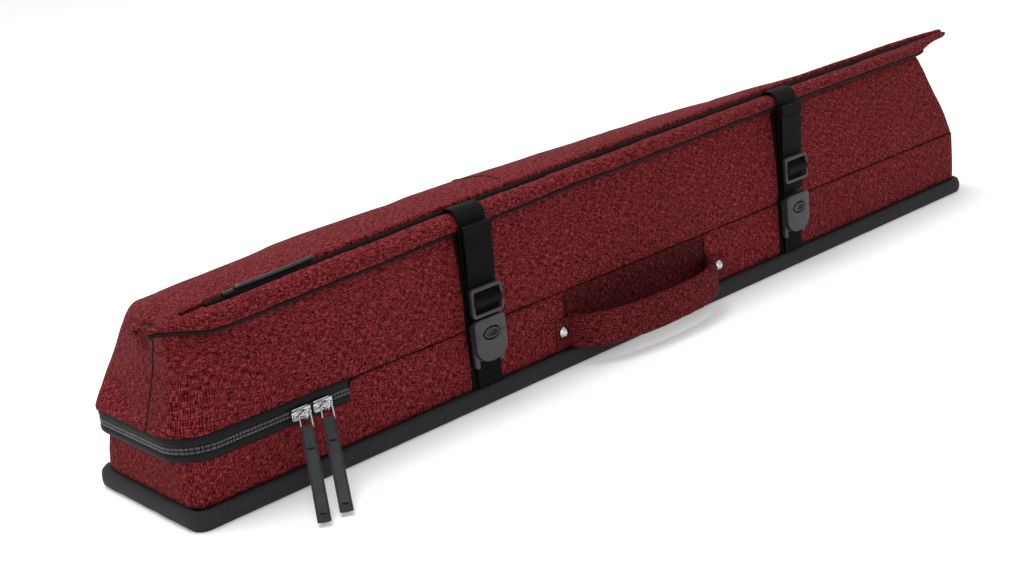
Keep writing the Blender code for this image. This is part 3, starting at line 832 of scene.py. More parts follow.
def lip_ring(x, squeeze, centre, wide):
    """The lip's outline at x. At its ends it shrinks towards a given centre."""
    ring = []
    for y, z in LIP_RING:
        off = Vector((y, z)) - LIP_MIDDLE
        ring.append((centre[0] + off.x * wide, centre[1] + off.y * squeeze))
    smooth = smooth_pairs(ring + ring[:1], 2)[:-1]
    sway_y = 0.7 * noise.noise(Vector((x / 0.05, 0, 0))) + 0.3 * noise.noise(Vector((x / 0.016, 5, 0)))
    sway_z = 0.6 * noise.noise(Vector((x / 0.06, 9, 0)))
    pinch = sum(math.exp(-((x - s) / 0.017) ** 4) for s in STRAP_X)
    shift_y = (sway_y + 0.8 * pinch) * wide
    shift_z = sway_z - 0.8 - 0.7 * pinch
    return [(x, (y + shift_y) * MM, lip_top(x) + (z + shift_z) * MM) for y, z in smooth]


def blunted(x, start, length):
    """A share that falls from 1 to nearly 0 as a round nose past start."""
    return math.sqrt(max(1 - max((x - start) / length, 0) ** 2, 0.002))


def far_lip_rows():
    rows = []
    for x in steps_between(HINGE_X, LIP_ENDS[1], 200):
        rise = eased(x, 0.362, 0.402)
        blunt = blunted(x, 0.416, 0.0119)
        tall = 1.0 - 0.20 * eased(x, -0.25, -0.06) - 0.16 * eased(x, -0.02, 0.30)
        tall *= 1 - 0.36 * rise
        curl = (-54.5 + 9.0 * eased(x, 0.350, 0.428), -6.2 * tall)
        rows.append(lip_ring(x, tall * blunt, curl, (1 - 0.52 * rise) * blunt))
    return rows


def near_lip_rows():
    rows = []
    for x in steps_between(LIP_ENDS[0], HINGE_X, 50):
        tip = 1 - eased(x, -0.4290, -0.380)
        rows.append(lip_ring(x, 1 - 0.74 * tip, (-54.5 + 7.5 * tip, -6.2 + 3.6 * tip), 1 - 0.58 * tip))
    return rows


def roof_hem_rows():
    """The roof's own rolled edge behind the slit. It meets the lip again at the tip of the ear."""
    rows = []
    for x in steps_between(-0.402, 0.4262, 220):
        start = eased(x, -0.402, -0.365)
        size = (0.35 + 0.65 * start) * blunted(x, 0.418, 0.0083)
        free = eased(x, 0.345, 0.425)
        y = -41.4 - 2.4 * (1 - start) - 1.2 * free + 0.5 * noise.noise(Vector((x / 0.05, 4, 1)))
        z = 0.8 - 1.2 * (1 - start) - 1.4 * free + 0.4 * noise.noise(Vector((x / 0.04, 7, 2)))
        rows.append([
            (x, (y + 2.3 * size * c) * MM, lip_top(x) + (z + 2.2 * size * s) * MM) for c, s in circle(14)
        ])
    return rows


print("lip sections", len(far_lip_rows()) + len(near_lip_rows()), "roof hem sections", len(roof_hem_rows()))

# %% [markdown]
# Threads, the painted shade lines under the lip and rods are all round and follow a line, so one
# call makes them: a curve with a round bevel, turned into a mesh.

# %% A round thread or rod
def wire(name, points, radius, cyclic=False, sides=3):
    """A round thread or rod along a line of points."""
    data = bpy.data.curves.new(name, "CURVE")
    data.dimensions = "3D"
    data.bevel_depth = radius
    data.bevel_resolution = sides
    data.use_fill_caps = not cyclic
    spline = data.splines.new("POLY")
    spline.points.add(len(points) - 1)
    for knot, point in zip(spline.points, points):
        knot.co = (*point, 1)
    spline.use_cyclic_u = cyclic
    made = bpy.data.objects.new(name, data)
    bpy.context.scene.collection.objects.link(made)
    take(made)
    bpy.ops.object.convert(target="MESH")
    bpy.ops.object.shade_smooth()
    return bpy.context.object


print("lip length mm", round((LIP_ENDS[1] - LIP_ENDS[0]) / MM))

# %% [markdown]
# The three rolls are closed at their ends and crumpled a little. A dark line under the lip is
# painted shade where the lip overhangs the front, and a finer seam runs behind its near tip.

# %% The rolls, the painted shade lines under the lip and a seam
UNDER, BEHIND = 3, 19


def dark_lip_line(name, rows, corner, drop, radius, moves):
    """A dark line along one corner of the lip: painted shade under the lip, a seam behind its near tip."""
    line = [Vector(row[corner]) + Vector((0, 0.2 * MM, -drop)) for row in rows]
    made = wire(name, line, radius, sides=2)
    dress(made, SEAM_AND_SHADE_THREAD, "canvas")
    moves(made)


def padded_roll(name, rows, crumple, moves, covers=()):
    made = lay_cloth(name, rows, ring=True)
    close_ends(made)
    ripple(made, *crumple)
    dress(made, CANVAS, "canvas", covers=covers)
    moves(made)
    print(name, len(made.data.polygons), "faces")


# The first two dark lines are painted shade under the lip's overhang; the third is a seam.
dark_lip_line("front_lip_painted_shade_line", far_lip_rows()[:186], UNDER, 1.1 * MM, 1.6 * MM, turns_out)
dark_lip_line("near_lip_painted_shade_line", near_lip_rows(), UNDER, 1.1 * MM, 1.5 * MM, lifts)
dark_lip_line("near_lip_seam", near_lip_rows()[:14], BEHIND, 0.0, 0.55 * MM, lifts)
padded_roll("front_lip_cloth", far_lip_rows(), (0.5 * MM, 0.014), turns_out, ("front_lip",))
padded_roll("near_lip_cloth", near_lip_rows(), (0.5 * MM, 0.014), lifts, ("hood_lip",))
padded_roll("roof_hem_cloth", roof_hem_rows(), (0.35 * MM, 0.012), lifts)

# %% [markdown]
# The ear at the far end stands free of the zip, so the slit behind it is closed by a small web of
# dark cloth that sags between the two edges.

# %% The gusset of the ear
GUSSET_ROWS = slice(182, 198)
TOP_BEHIND = 21


def ear_gusset_rows():
    """A dark web of cloth that closes the slit between the two edges of the free ear."""
    rows = []
    for lip_row in far_lip_rows()[GUSSET_ROWS]:
        back = Vector(lip_row[TOP_BEHIND])
        x = back.x
        free = eased(x, 0.345, 0.425)
        hem = Vector((x, (-43.7 - 1.2 * free) * MM, lip_top(x) - (0.2 + 1.4 * free) * MM))
        low = hem.lerp(back, 0.5) - Vector((0, 0, 1.2 * MM * (1 - eased(x, 0.39, 0.42))))
        rows.append([hem, hem.lerp(low, 0.5), low, low.lerp(back, 0.5), back])
    return rows


gusset = lay_cloth("ear_gusset_cloth", ear_gusset_rows())
thicken(gusset, 0.7 * MM, 0.0)
dress(gusset, TAPE, "zip_tape")
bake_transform(gusset)
print("gusset faces", len(gusset.data.polygons))

# %% [markdown]
# ## The lower box
# A canvas band is drawn tight round the stiff tray. Its corners are tight at the foot, where the
# edge roll clamps it, and rounder at the top, where the zip turns. Rings of points stacked from the
# foot up give that change, and the top edge drops to make room for the zip at the near end.

# %% The band round the tray
HALF, END = 57.4 * MM, 420.8 * MM


def plan_ring(half, end, near_radius, far_radius, spacing=0.009):
    """Points round a rounded rectangle, close together on the straights too."""
    points = []

    def corner(cx, cy, radius, start):
        points.extend(arc(cx, cy, radius, start, 90, 8))

    def straight(x0, y0, x1, y1):
        count = max(int(math.hypot(x1 - x0, y1 - y0) / spacing), 2)
        for k in range(1, count):
            t = k / count
            points.append((x0 + (x1 - x0) * t, y0 + (y1 - y0) * t))

    n, f = near_radius, far_radius
    corner(end - f, half - f, f, 0)
    straight(end - f, half, -end + n, half)
    corner(-end + n, half - n, n, 90)
    straight(-end, half - n, -end, -half + n)
    corner(-end + n, -half + n, n, 180)
    straight(-end + n, -half, end - f, -half)
    corner(end - f, -half + f, f, 270)
    straight(end, -half + f, end, half - f)
    return points


def band_rows():
    """Level rings from the foot to the rim, rounder at the near end as they rise."""
    foot, rim, low_rim = 13.4 * MM, 56.8 * MM, 43.6 * MM
    rows = []
    for t in steps_between(0.0, 1.0, 12):
        puff = 0.5 * MM * math.sin(math.pi * t)
        row = []
        for x, y in ring_to(plan_ring(HALF, END, 0.010 + 0.014 * t, 0.007), 260):
            top = low_rim + (rim - low_rim) * eased(x, -0.3005, -0.2965)
            row.append((x * (1 + puff / END), y * (1 + puff / HALF), foot + (top - foot) * t))
        rows.append(row)
    return rows


def ring_to(ring, count):
    """The same outline with an even number of points, so that rings of unlike corners match."""
    closed = [Vector((x, y, 0)) for x, y in ring] + [Vector((*ring[0], 0))]
    run = [0.0]
    for a, b in zip(closed, closed[1:]):
        run.append(run[-1] + (b - a).length)
    out, k = [], 0
    for step in range(count):
        want = run[-1] * step / count
        while run[k + 1] < want:
            k += 1
        t = (want - run[k]) / max(run[k + 1] - run[k], 1e-9)
        p = closed[k].lerp(closed[k + 1], t)
        out.append((p.x, p.y))
    return out


GRIP_SEAMS = (-0.098, 0.058)
band = lay_cloth("lower_cover_cloth", band_rows(), ring=True)
for vertex in band.data.vertices:
    p = vertex.co
    if p.y < 0:
        for seam in GRIP_SEAMS:
            p.y += 0.9 * MM * math.exp(-((p.x - seam) / 0.0035) ** 2)
ripple(band, 0.5 * MM, 0.035)
thicken(band, 0.9 * MM)
dress(band, CANVAS, "canvas", "case", ("near_wrap", "front_cover_left", "recess_panel", "cover_wrap"))
# Faces of the recessed panel behind the grip get the darker canvas: painted shade where the grip shades it.
band.data.materials.append(RECESS_SHADE_CANVAS)
for face in band.data.polygons:
    recess_in_painted_shade = GRIP_SEAMS[0] < face.center.x < GRIP_SEAMS[1] and face.center.y < -0.05
    face.material_index = 1 if recess_in_painted_shade else 0
print("band faces", len(band.data.polygons))

# %% [markdown]
# ## The edge roll
# The base board is bound with a thick charcoal twill roll. It is a ring of ring-shaped sections.
# The section is nearly round but stands flat on the floor, and the noise gives it the small lumps
# of turned and stitched cloth.

# %% The roll
def roll_rows(inset, section, count=420):
    ring = ring_to(plan_ring(0.0655 - inset, 0.4275 - inset, 0.0095, 0.0095, 0.004), count)
    rows = []
    for k, (x, y) in enumerate(ring):
        before, after = Vector(ring[k - 1]), Vector(ring[(k + 1) % count])
        tangent = (after - before).normalized()
        out = Vector((tangent.y, -tangent.x))
        rows.append([(x + out.x * a * MM, y + out.y * a * MM, b * MM) for a, b in section])
    rows.append(rows[0])
    return rows


ROLL = [
    (4.1, 6.6), (3.8, 9.3), (2.7, 11.7), (0.7, 13.0), (-1.8, 12.9), (-3.6, 11.4), (-4.2, 9.0),
    (-4.2, 5.0), (-3.8, 2.4), (-2.4, 0.7), (0.2, 0.25), (2.4, 0.9), (3.7, 3.2),
]
roll_section = smooth_pairs(ROLL + ROLL[:1], 2)[:-1]
roll = lay_cloth("edge_roll", roll_rows(4.3 * MM, roll_section), ring=True)
weld(roll, 0.02 * MM)
ripple(roll, 0.45 * MM, 0.012)
for vertex in roll.data.vertices:
    vertex.co.z = max(vertex.co.z, 0.1 * MM)
dress(roll, TWILL, "binding", "case", ("edge_binding",))
print("roll faces", len(roll.data.polygons))

# %% [markdown]
# ## The zip of the lifting end
# Each half of the zip is a strip of tape sewn to the cloth, folded outwards, with a nylon coil along
# its edge. The coil shows as a row of slanted bars. One bar is shaped from a sphere and copied along
# the path, a few dozen faces each.

# %% Tape along the path of the zip
ZIP_STOP = -0.2985
INSIDE = Vector((-0.36, 0))


def zip_path(out, spacing=0.0036, turns=12):
    """From the front side, round the near end, to the back side, out from the wall by out."""
    half, near = 0.0582 + out, -0.4238 - out
    front, back = 0.026 + out, 0.020 + out
    points = []
    x = ZIP_STOP
    while x > near + front:
        points.append((x, -half))
        x -= spacing
    points += arc(near + front, -half + front, front, 270, -90, turns)
    y = -half + front + spacing
    while y < half - back:
        points.append((near, y))
        y += spacing
    points += arc(near + back, half - back, back, 180, -90, turns)
    x = near + back + spacing
    while x < ZIP_STOP:
        points.append((x, half))
        x += spacing
    return points


def outward(along, here):
    """The level direction square to along that points away from the inside of the case."""
    side = Vector((along.y, -along.x))
    return side if side.dot(here - INSIDE) >= 0 else -side


def tape_strip(name, knots, covers, body):
    """A tape whose section is given by how far out and how high its points are, in millimetres."""
    path = [Vector(p) for p in zip_path(0.0)]
    section = smooth_pairs(knots, 2)
    rows = []
    for k, p in enumerate(path):
        along = path[min(k + 1, len(path) - 1)] - path[max(k - 1, 0)]
        n = outward(along.normalized(), p)
        rows.append([(p.x + n.x * a * MM, p.y + n.y * a * MM, b * MM) for a, b in section])
    made = lay_cloth(name, rows)
    thicken(made, 0.7 * MM, 0.0)
    dress(made, TAPE, "zip_tape", body, (covers,))
    print(name, "length mm", round(sum((b - a).length for a, b in zip(path, path[1:])) / MM))


UPPER = [(-1.6, 58.8), (-0.2, 58.3), (1.0, 57.0), (1.5, 55.2), (1.0, 53.6), (0.1, 52.9)]
LOWER = [(0.1, 48.2), (1.2, 47.6), (1.8, 46.0), (1.5, 44.2), (0.4, 43.1), (-1.4, 42.6)]
tape_strip("zip_tape_upper_cloth", UPPER, "zip_tape_upper", "hood")
tape_strip("zip_tape_lower_cloth", LOWER, "zip_tape_lower", "case")

# %% [markdown]
# A coil is one drawn bar, tilted and repeated at the zip's pitch. The copies are put in one mesh.

# %% Coils
def copies(name, template, places):
    """One mesh with a copy of the template at every place. The template is then taken away."""
    bm = bmesh.new()
    for place in places:
        before = len(bm.verts)
        bm.from_mesh(template.data)
        bm.verts.ensure_lookup_table()
        bmesh.ops.transform(bm, matrix=place, verts=bm.verts[before:])
    bmesh.ops.recalc_face_normals(bm, faces=bm.faces)
    bpy.data.objects.remove(template)
    made = new_piece(name, bm)
    for face in made.data.polygons:
        face.use_smooth = True
    print(name, len(places), "copies")
    return made


def small_ball(rings):
    """A ball six faces round, to be stretched into a bar or a stitch."""
    deselect()
    bpy.ops.mesh.primitive_uv_sphere_add(segments=6, ring_count=rings, radius=1)
    return bpy.context.object


def coil(name, height, pitch=1.25 * MM, slant=16):
    bar = small_ball(5)
    bar.data.transform(Matrix.Diagonal((0.48 * MM, 1.0 * MM, 1.15 * MM, 1)))
    tilt = Matrix.Rotation(math.radians(slant), 4, "Y")
    path = [Vector(p) for p in zip_path(0.0008, 0.0005, 80)]
    gone, due = 0.0, 0.0
    places = []
    for a, b in zip(path, path[1:]):
        gone += (b - a).length
        if gone < due:
            continue
        due += pitch
        along = (b - a).normalized()
        out = outward(along, b)
        turn = Matrix((along.to_3d(), out.to_3d(), Vector((0, 0, 1)))).transposed().to_4x4()
        places.append(Matrix.Translation((b.x, b.y, height)) @ turn @ tilt)
    return copies(name, bar, places)


dress(coil("zip_coil_upper_bars", 51.85 * MM), COIL, "zip_coil", "hood", ("zip_coil_upper",))
dress(coil("zip_coil_lower_bars", 49.25 * MM), COIL, "zip_coil", "case", ("zip_coil_lower",))

# %% [markdown]
# ## Metal sliders and their leather pulls
# A slider is a cast body: a plate over the coil with rounded flanges, and a crown that holds a wire
# loop. It starts as a block whose front is inset and pushed out, then every edge is rounded. These
# are the small tools it is shaped with.

# %% Small tools for shaping by hand
def edit_faces(made, test):
    """Selects the faces that pass a test on their centre and normal, and enters edit mode."""
    take(made)
    bpy.ops.object.mode_set(mode="EDIT")
    bpy.ops.mesh.select_all(action="DESELECT")
    bpy.ops.mesh.select_mode(type="FACE")
    bpy.ops.object.mode_set(mode="OBJECT")
    for face in made.data.polygons:
        face.select = test(face.center, face.normal)
    bpy.ops.object.mode_set(mode="EDIT")


def leave_edit():
    bpy.ops.object.mode_set(mode="OBJECT")


def push(vector):
    bpy.ops.mesh.extrude_region_move(TRANSFORM_OT_translate={"value": vector})


def round_edges(made, width, segments=3, angle=30):
    bevel = made.modifiers.new("rounded", "BEVEL")
    bevel.width = width
    bevel.segments = segments
    bevel.limit_method = "ANGLE"
    bevel.angle_limit = math.radians(angle)
    settle(made)
    take(made)
    bpy.ops.object.shade_smooth_by_angle(angle=math.radians(40))


def merge(name, *parts):
    take(parts[0])
    for other in parts[1:]:
        other.select_set(True)
    bpy.ops.object.join()
    parts[0].name = name
    parts[0].data.name = name
    return parts[0]


def rounded_outline(half, low, high, radius, steps=4):
    """A rectangle with round corners, centred across, from low to high."""
    x = half - radius
    corners = ((x, high - radius), (-x, high - radius), (-x, low + radius), (x, low + radius))
    return [p for k, (cx, cy) in enumerate(corners) for p in arc(cx, cy, radius, 90 * k, 90, steps)]


print("shaping tools ready")

# %% [markdown]
# Both sliders are alike. The front of the body is swollen, the crown is a flattened ring, and two
# round rivet heads hold it down.

# %% The two sliders
ZIP_Z = 50.5 * MM


def cast_slider(name, x):
    def at(low, high):
        """Two corners given in millimetres from the slider's middle, out from the case and up."""
        return [(x + a * MM, -b * MM, ZIP_Z + c * MM) for a, b, c in (low, high)]

    body = block(name, *at((-7.6, 64.0, -3.4), (7.2, 62.2, 3.4)))
    edit_faces(body, lambda c, n: n.y < -0.9)
    bpy.ops.mesh.inset(thickness=1.3 * MM)
    push((0, -0.7 * MM, 0))
    bpy.ops.transform.resize(value=(0.86, 1, 0.8))
    leave_edit()
    for vertex in body.data.vertices:
        toward = (vertex.co.x - x) / (7.4 * MM)
        vertex.co.z = ZIP_Z + (vertex.co.z - ZIP_Z) * (0.92 + 0.16 * toward)
    round_edges(body, 0.6 * MM)
    parts = []
    for z in (-3.5, 3.5):
        flange = block("flange", *at((-6.4, 62.9, z - 0.6), (6.0, 60.9, z + 0.6)))
        round_edges(flange, 0.4 * MM)
        parts.append(flange)
    deselect()
    bpy.ops.mesh.primitive_torus_add(
        rotation=(0, math.radians(90), 0),
        major_radius=2.9 * MM, minor_radius=0.75 * MM, major_segments=28, minor_segments=10,
    )
    crown = settle(bpy.context.object)
    crown.data.transform(Matrix.Translation((x, -66.8 * MM, ZIP_Z)) @ Matrix.Diagonal((1.5, 1, 1, 1)))
    bpy.ops.object.shade_smooth()
    parts.append(crown)
    for end in (-6.2, 6.0):
        bpy.ops.mesh.primitive_uv_sphere_add(
            segments=16, ring_count=10, radius=0.95 * MM, location=(x + end * MM, -64.6 * MM, ZIP_Z),
        )
        parts.append(settle(bpy.context.object))
        bpy.ops.object.shade_smooth()
    return merge(name, body, *parts)


SLIDERS = {"a": -0.3395, "b": -0.3225}
for letter, x in SLIDERS.items():
    made = cast_slider(f"slider_{letter}_metal", x)
    dress(made, NICKEL, "chrome", f"slider_{letter}", (f"zip_slider_{letter}",))
    print(made.name, len(made.data.polygons), "faces")

# %% [markdown]
# A pull is a strap of leather folded over a wire loop. The fold is thicker, two tacks hold it, and
# a row of stitches runs along each edge on both faces. Both pulls lie out to the floor.

# %% Loops and leather pulls
PULL_LEAN = Vector((-0.40, -0.678, -0.616)).normalized()
PULL_AXIS = Vector((-0.678, 0.40, 0.0)).normalized()


def pull_frame(x):
    face = PULL_AXIS.cross(PULL_LEAN)
    turn = Matrix((PULL_AXIS, face, -PULL_LEAN)).transposed().to_4x4()
    return Matrix.Translation((x, -0.067, ZIP_Z)) @ turn


PULL_TOP, PULL_FOOT = -9.2, -76.5


def leather_pull(name, bow):
    """A strap of leather pointing down -Z from its loop, thicker where it is folded over."""
    half, top, foot = 4.2 * MM, PULL_TOP * MM, PULL_FOOT * MM
    pull = block(name, (-half, -1.1 * MM, foot), (half, 1.1 * MM, top))
    take(pull)
    bpy.ops.object.mode_set(mode="EDIT")
    bpy.ops.mesh.select_all(action="SELECT")
    bpy.ops.mesh.subdivide(number_cuts=14)
    leave_edit()
    for vertex in pull.data.vertices:
        p = vertex.co
        t = (top - p.z) / (top - foot)
        fold_over = 1 - eased(t, 0.0, 0.30)
        p.y *= 1 + 0.35 * fold_over - 0.20 * eased(t, 0.35, 0.45)
        p.x *= 1 - 0.05 * fold_over + 0.04 * t
        if t > 0.97:
            p.z -= 0.5 * MM * (1 - (p.x / half) ** 2)
        p.y += bow * math.sin(math.pi * t)
    round_edges(pull, 0.35 * MM, 2, 50)
    return pull


def stitched(name, places, length, radius, finish):
    """Short lengths of thread, one copy at each place and along the line given with it."""
    shape = Matrix.Diagonal((radius, radius, length / 2, 1))
    turns = [
        Matrix.Translation(place) @ line.to_track_quat("Z", "Y").to_matrix().to_4x4() @ shape
        for place, line in places
    ]
    made = copies(name, small_ball(6), turns)
    made.data.materials.append(finish)
    return made


def on_leather(home, bow, across, drop, side):
    """A point on either face of a pull, at a distance below its loop."""
    share = (PULL_TOP - drop) / (PULL_TOP - PULL_FOOT)
    half = 1.45 - 0.30 * eased(share, 0.28, 0.45)
    out = side * half * MM + bow * math.sin(math.pi * share)
    return home @ Vector((across * MM, out, drop * MM))


BOWS = {"a": 1.2 * MM, "b": -0.9 * MM}
SIDES = (-1, 1)
for letter, x in SLIDERS.items():
    home, bow = pull_frame(x), BOWS[letter]
    body = f"pull_{letter}"
    loop_line = [(u, 0, v) for u, v in rounded_outline(3.8 * MM, -11.0 * MM, 0.0, 2.0 * MM, 5)]
    loop = wire(f"pull_loop_{letter}_wire", loop_line, 0.72 * MM, cyclic=True)
    loop.data.transform(home)
    dress(loop, NICKEL, "chrome", body, (f"pull_loop_{letter}",))
    pull = leather_pull(f"pull_{letter}_leather", bow)
    pull.data.transform(home)
    dress(pull, LEATHER, "leather", body, (f"pull_tab_{letter}",))
    lean = home.to_3x3() @ Vector((0, 0, 1))
    across = (home.to_3x3() @ Vector((1, 0, 0.2))).normalized()
    tacks = [
        (on_leather(home, bow, 0.9 * half, drop, side), across)
        for drop in (-26.0, -71.5) for side in SIDES for half in SIDES
    ]
    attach(stitched(f"pull_{letter}_tack", tacks, 3.0 * MM, 0.6 * MM, BLACK_THREAD), body)
    rows = [
        (on_leather(home, bow, 3.35 * edge, -13.0 - k * 2.4, side), lean)
        for edge in SIDES for side in SIDES for k in range(26)
    ]
    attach(stitched(f"pull_{letter}_stitch", rows, 1.7 * MM, 0.30 * MM, BLACK_THREAD), body)
print("pulls", [round(x / MM, 1) for x in SLIDERS.values()], "mm along the case")

# %% [markdown]
# ## The zip in the mouth
# Two tapes hang inside the slit, and one of them goes on along the lifting end. The slider is small
# and nearly hidden, and its puller is a thin black tube that lies along the slit.

# %% Tapes, slider and tube of the mouth zip
def mouth_tape(name, x0, x1, section, steps, moves, covers=()):
    rows = [[(x, y * MM, lip_top(x) + z * MM) for y, z in section] for x in steps_between(x0, x1, steps)]
    made = lay_cloth(name, rows)
    thicken(made, 0.5 * MM, 0.0)
    dress(made, TAPE, "zip_tape", covers=covers)
    moves(made)


REAR = [(-44.1, 0.2), (-44.3, -2.4), (-44.5, -5.2), (-45.2, -7.8)]
FRONT = [(-47.8, -5.0), (-47.2, -6.6), (-46.6, -7.8), (-45.9, -8.6)]
mouth_tape("mouth_tape_rear", -0.384, 0.3675, REAR, 120, lifts, ("top_zip_tape_rear",))
mouth_tape("mouth_tape_front", -0.258, 0.356, FRONT, 100, turns_out, ("top_zip_tape_front",))
mouth_tape("mouth_tape_near", -0.384, -0.2585, FRONT, 24, lifts)

TOP_X = -0.366
top_z = lip_top(TOP_X)
runner = block(
    "mouth_slider",
    (TOP_X - 4.8 * MM, -46.3 * MM, top_z - 0.2 * MM), (TOP_X + 3.6 * MM, -43.9 * MM, top_z + 2.2 * MM),
)
edit_faces(runner, lambda c, n: n.z > 0.9)
bpy.ops.mesh.inset(thickness=0.5 * MM)
push((0, 0, 0.5 * MM))
leave_edit()
round_edges(runner, 0.3 * MM)
dress(runner, NYLON, "chrome", "top_slider", ("top_zip_slider",))


def tube_puller():
    """A soft tube with rounded, slightly swollen ends, sagging a little between them."""
    length, start_z, rise = 62 * MM, top_z + 2.6 * MM, 2.6 * MM
    rows = []
    for t in steps_between(0.0, 1.0, 26):
        radius = 1.45 * MM * math.sqrt(max(1 - (2 * t - 1) ** 26, 0.02)) * (1 + 0.12 * eased(t, 0.86, 0.93))
        x = TOP_X + 4.0 * MM + length * t
        z = start_z + rise * t - 0.5 * MM * math.sin(math.pi * t)
        rows.append([(x, -45.0 * MM + radius * c, z + radius * s) for c, s in circle(14)])
    made = lay_cloth("mouth_puller", rows, ring=True)
    close_ends(made)
    return made


dress(tube_puller(), NYLON, "plastic", "top_puller", ("top_zip_puller",))
print("mouth zip at", round(top_z / MM, 1), "mm high")

# %% [markdown]
# ## Straps and buckles
# Each strap is webbing: it comes out of the mouth, over the lip, down to the buckle's bar and back up
# through a glide that takes up its slack, with its end folded and sewn. Webbing is laid as a flat
# ribbon along a line, then given its thickness.

# %% Ribbons of webbing
BUCKLES = {"near": (STRAP_X[0], 78.5 * MM, 50 * MM), "far": (STRAP_X[1], 86.0 * MM, 48 * MM)}
WEB = 25 * MM
SELVEDGES = (-0.5, -0.47, -0.25, 0.0, 0.25, 0.47, 0.5)


def ribbon(name, x, line, width=WEB, wall=1.3 * MM, steps=5):
    """A ribbon across X that follows a line given in Y and Z, close-set at its selvedges."""
    path = smooth_pairs(line, steps)
    rows = [[(x + width * c, y * MM, z * MM) for c in SELVEDGES] for y, z in path]
    made = lay_cloth(name, rows)
    thicken(made, wall, 0.0)
    print(name, "length mm", round(sum(math.dist(a, b) for a, b in zip(path, path[1:]))))
    return made


def strap_line(mouth, glide, plate, slack):
    """From inside the mouth over the lip, down round the buckle's bar and back up the glide."""
    over = arc(0, 0, 1, 62, 108, 6)
    bar = plate + 18.5
    loose = [(-65.5, glide + 21)] if slack else []
    return [
        (-46.6, mouth - 7.0), (-46.4, mouth - 3.0),
        *((-52.6 + 9.4 * c, mouth - 6.6 + 8.4 * s) for c, s in over),
        (-62.0, mouth - 8.4), (-61.9, mouth - 12), (-61.7, 108), (-62.0, glide + 12), (-62.2, bar + 4),
        (-62.6, bar + 1), (-63.6, bar + 0.2), (-64.4, bar + 1.4), (-64.7, bar + 4), (-65.0, glide - 7.6),
        (-66.4, glide - 4.4), (-70.1, glide - 2.0), (-70.7, glide), (-70.1, glide + 2.0),
        (-66.6, glide + 4.6), (-65.0, glide + 7.8), (-64.7, glide + 13), *loose, (-66.2, mouth - 27),
        (-66.0, mouth - 17), (-65.4, mouth - 10.5),
    ]


def strap_cloth(where):
    x, glide, plate = (value / MM for value in BUCKLES[where])
    x *= MM
    mouth = lip_top(x) / MM
    base = ribbon(f"strap_{where}_base_web", x - 1.5 * MM, [
        (-59.6, 13.4), (-58.9, 20), (-58.8, 40), (-59.0, 57), (-59.8, 76), (-59.9, 95), (-59.3, 110),
        (-57.6, mouth - 16),
    ])
    dress(base, WEBBING, "webbing", "case", (f"strap_{where}_base",))
    web = ribbon(f"strap_{where}_web", x, strap_line(mouth, glide, plate, where == "near"), steps=6)
    dress(web, WEBBING, "webbing", covers=(f"strap_{where}_webbing", f"strap_{where}_anchor"))
    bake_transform(web)
    hem = ribbon(f"strap_{where}_hem", x, [
        (-65.0, mouth - 10.4), (-65.7, mouth - 9.6), (-66.9, mouth - 10.0), (-67.5, mouth - 12.5),
        (-67.7, mouth - 16.5),
    ], width=WEB * 1.01, wall=1.2 * MM)
    dress(hem, WEBBING, "webbing")
    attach(hem, f"strap_{where}")
    low = ribbon(f"strap_{where}_lower_web", x + 1.0 * MM, [
        (-60.9, 13.6), (-60.7, 18), (-60.9, 26), (-61.0, plate - 14),
    ], width=22 * MM)
    dress(low, WEBBING, "webbing", "case", (f"strap_{where}_lower",))


for where in BUCKLES:
    strap_cloth(where)

# %% [markdown]
# The buckle's pieces are mouldings. A flat outline is extruded, its windows are cut, and every edge
# is rounded, because a moulded edge always catches a thin line of light.

# %% A moulding from an outline
def moulding(name, outline, low, high, radius=0.0):
    """An outline in X and Z made solid between two values of Y, with rounded edges."""
    deselect()
    bpy.ops.mesh.primitive_circle_add(vertices=len(outline), fill_type="NGON")
    made = bpy.context.object
    made.name = name
    for vertex, (px, pz) in zip(made.data.vertices, outline):
        vertex.co = (px, high, pz)
    take(made)
    bpy.ops.object.mode_set(mode="EDIT")
    bpy.ops.mesh.select_all(action="SELECT")
    push((0, low - high, 0))
    bpy.ops.mesh.select_all(action="SELECT")
    bpy.ops.mesh.normals_make_consistent(inside=False)
    leave_edit()
    if radius:
        round_edges(made, radius)
    return made


def placed(outline, x, z):
    return [(x + px, z + pz) for px, pz in outline]


print("a moulded rounded outline has", len(rounded_outline(14.5 * MM, -11 * MM, 11 * MM, 3.4 * MM)), "points")

# %% [markdown]
# The glide is a rectangular frame with a bar across its middle. The webbing goes up through one
# slot, over the bar and down through the other.

# %% The glide
def glide_frame(where):
    """The slotted frame that takes up the strap's slack, bowed a little away from the case."""
    x, z, _ = BUCKLES[where]
    half, tall = 14.5 * MM, 11 * MM
    outline = placed(rounded_outline(half, -tall, tall, 3.4 * MM, 6), x, z)
    outer = moulding(f"glide_{where}", outline, -70.0 * MM, -66.4 * MM)
    for low, high in ((1.5, 8.2), (-8.2, -1.5)):
        window = placed(rounded_outline(half - 2.3 * MM, low * MM, high * MM, 1.3 * MM), x, z)
        cut_away(outer, moulding("window", window, -75 * MM, -62 * MM))
    round_edges(outer, 0.75 * MM, 3, 40)
    for vertex in outer.data.vertices:
        lift = ((vertex.co.z - z) / tall) ** 2
        vertex.co.y += 0.9 * MM * lift - 0.3 * MM
    return outer


print("glides at mm", [round(glide_z / MM, 1) for _, glide_z, _ in BUCKLES.values()])

# %% [markdown]
# The plate is square-shouldered at the top and round at the foot. An oval press tab with a finger
# dish sits in a groove that a small bridge crosses, and a parting line runs across at its height.

# %% The plate and its press tab
TAB_RISE = 4.6 * MM


def press_tab_outline(where, grow):
    """The press tab's oval, grown by some millimetres."""
    x, _, z = BUCKLES[where]
    oval = [((7.0 + grow) * c * MM, (4.0 + grow) * s * MM) for c, s in circle(36)]
    return placed(oval, x, z + TAB_RISE)


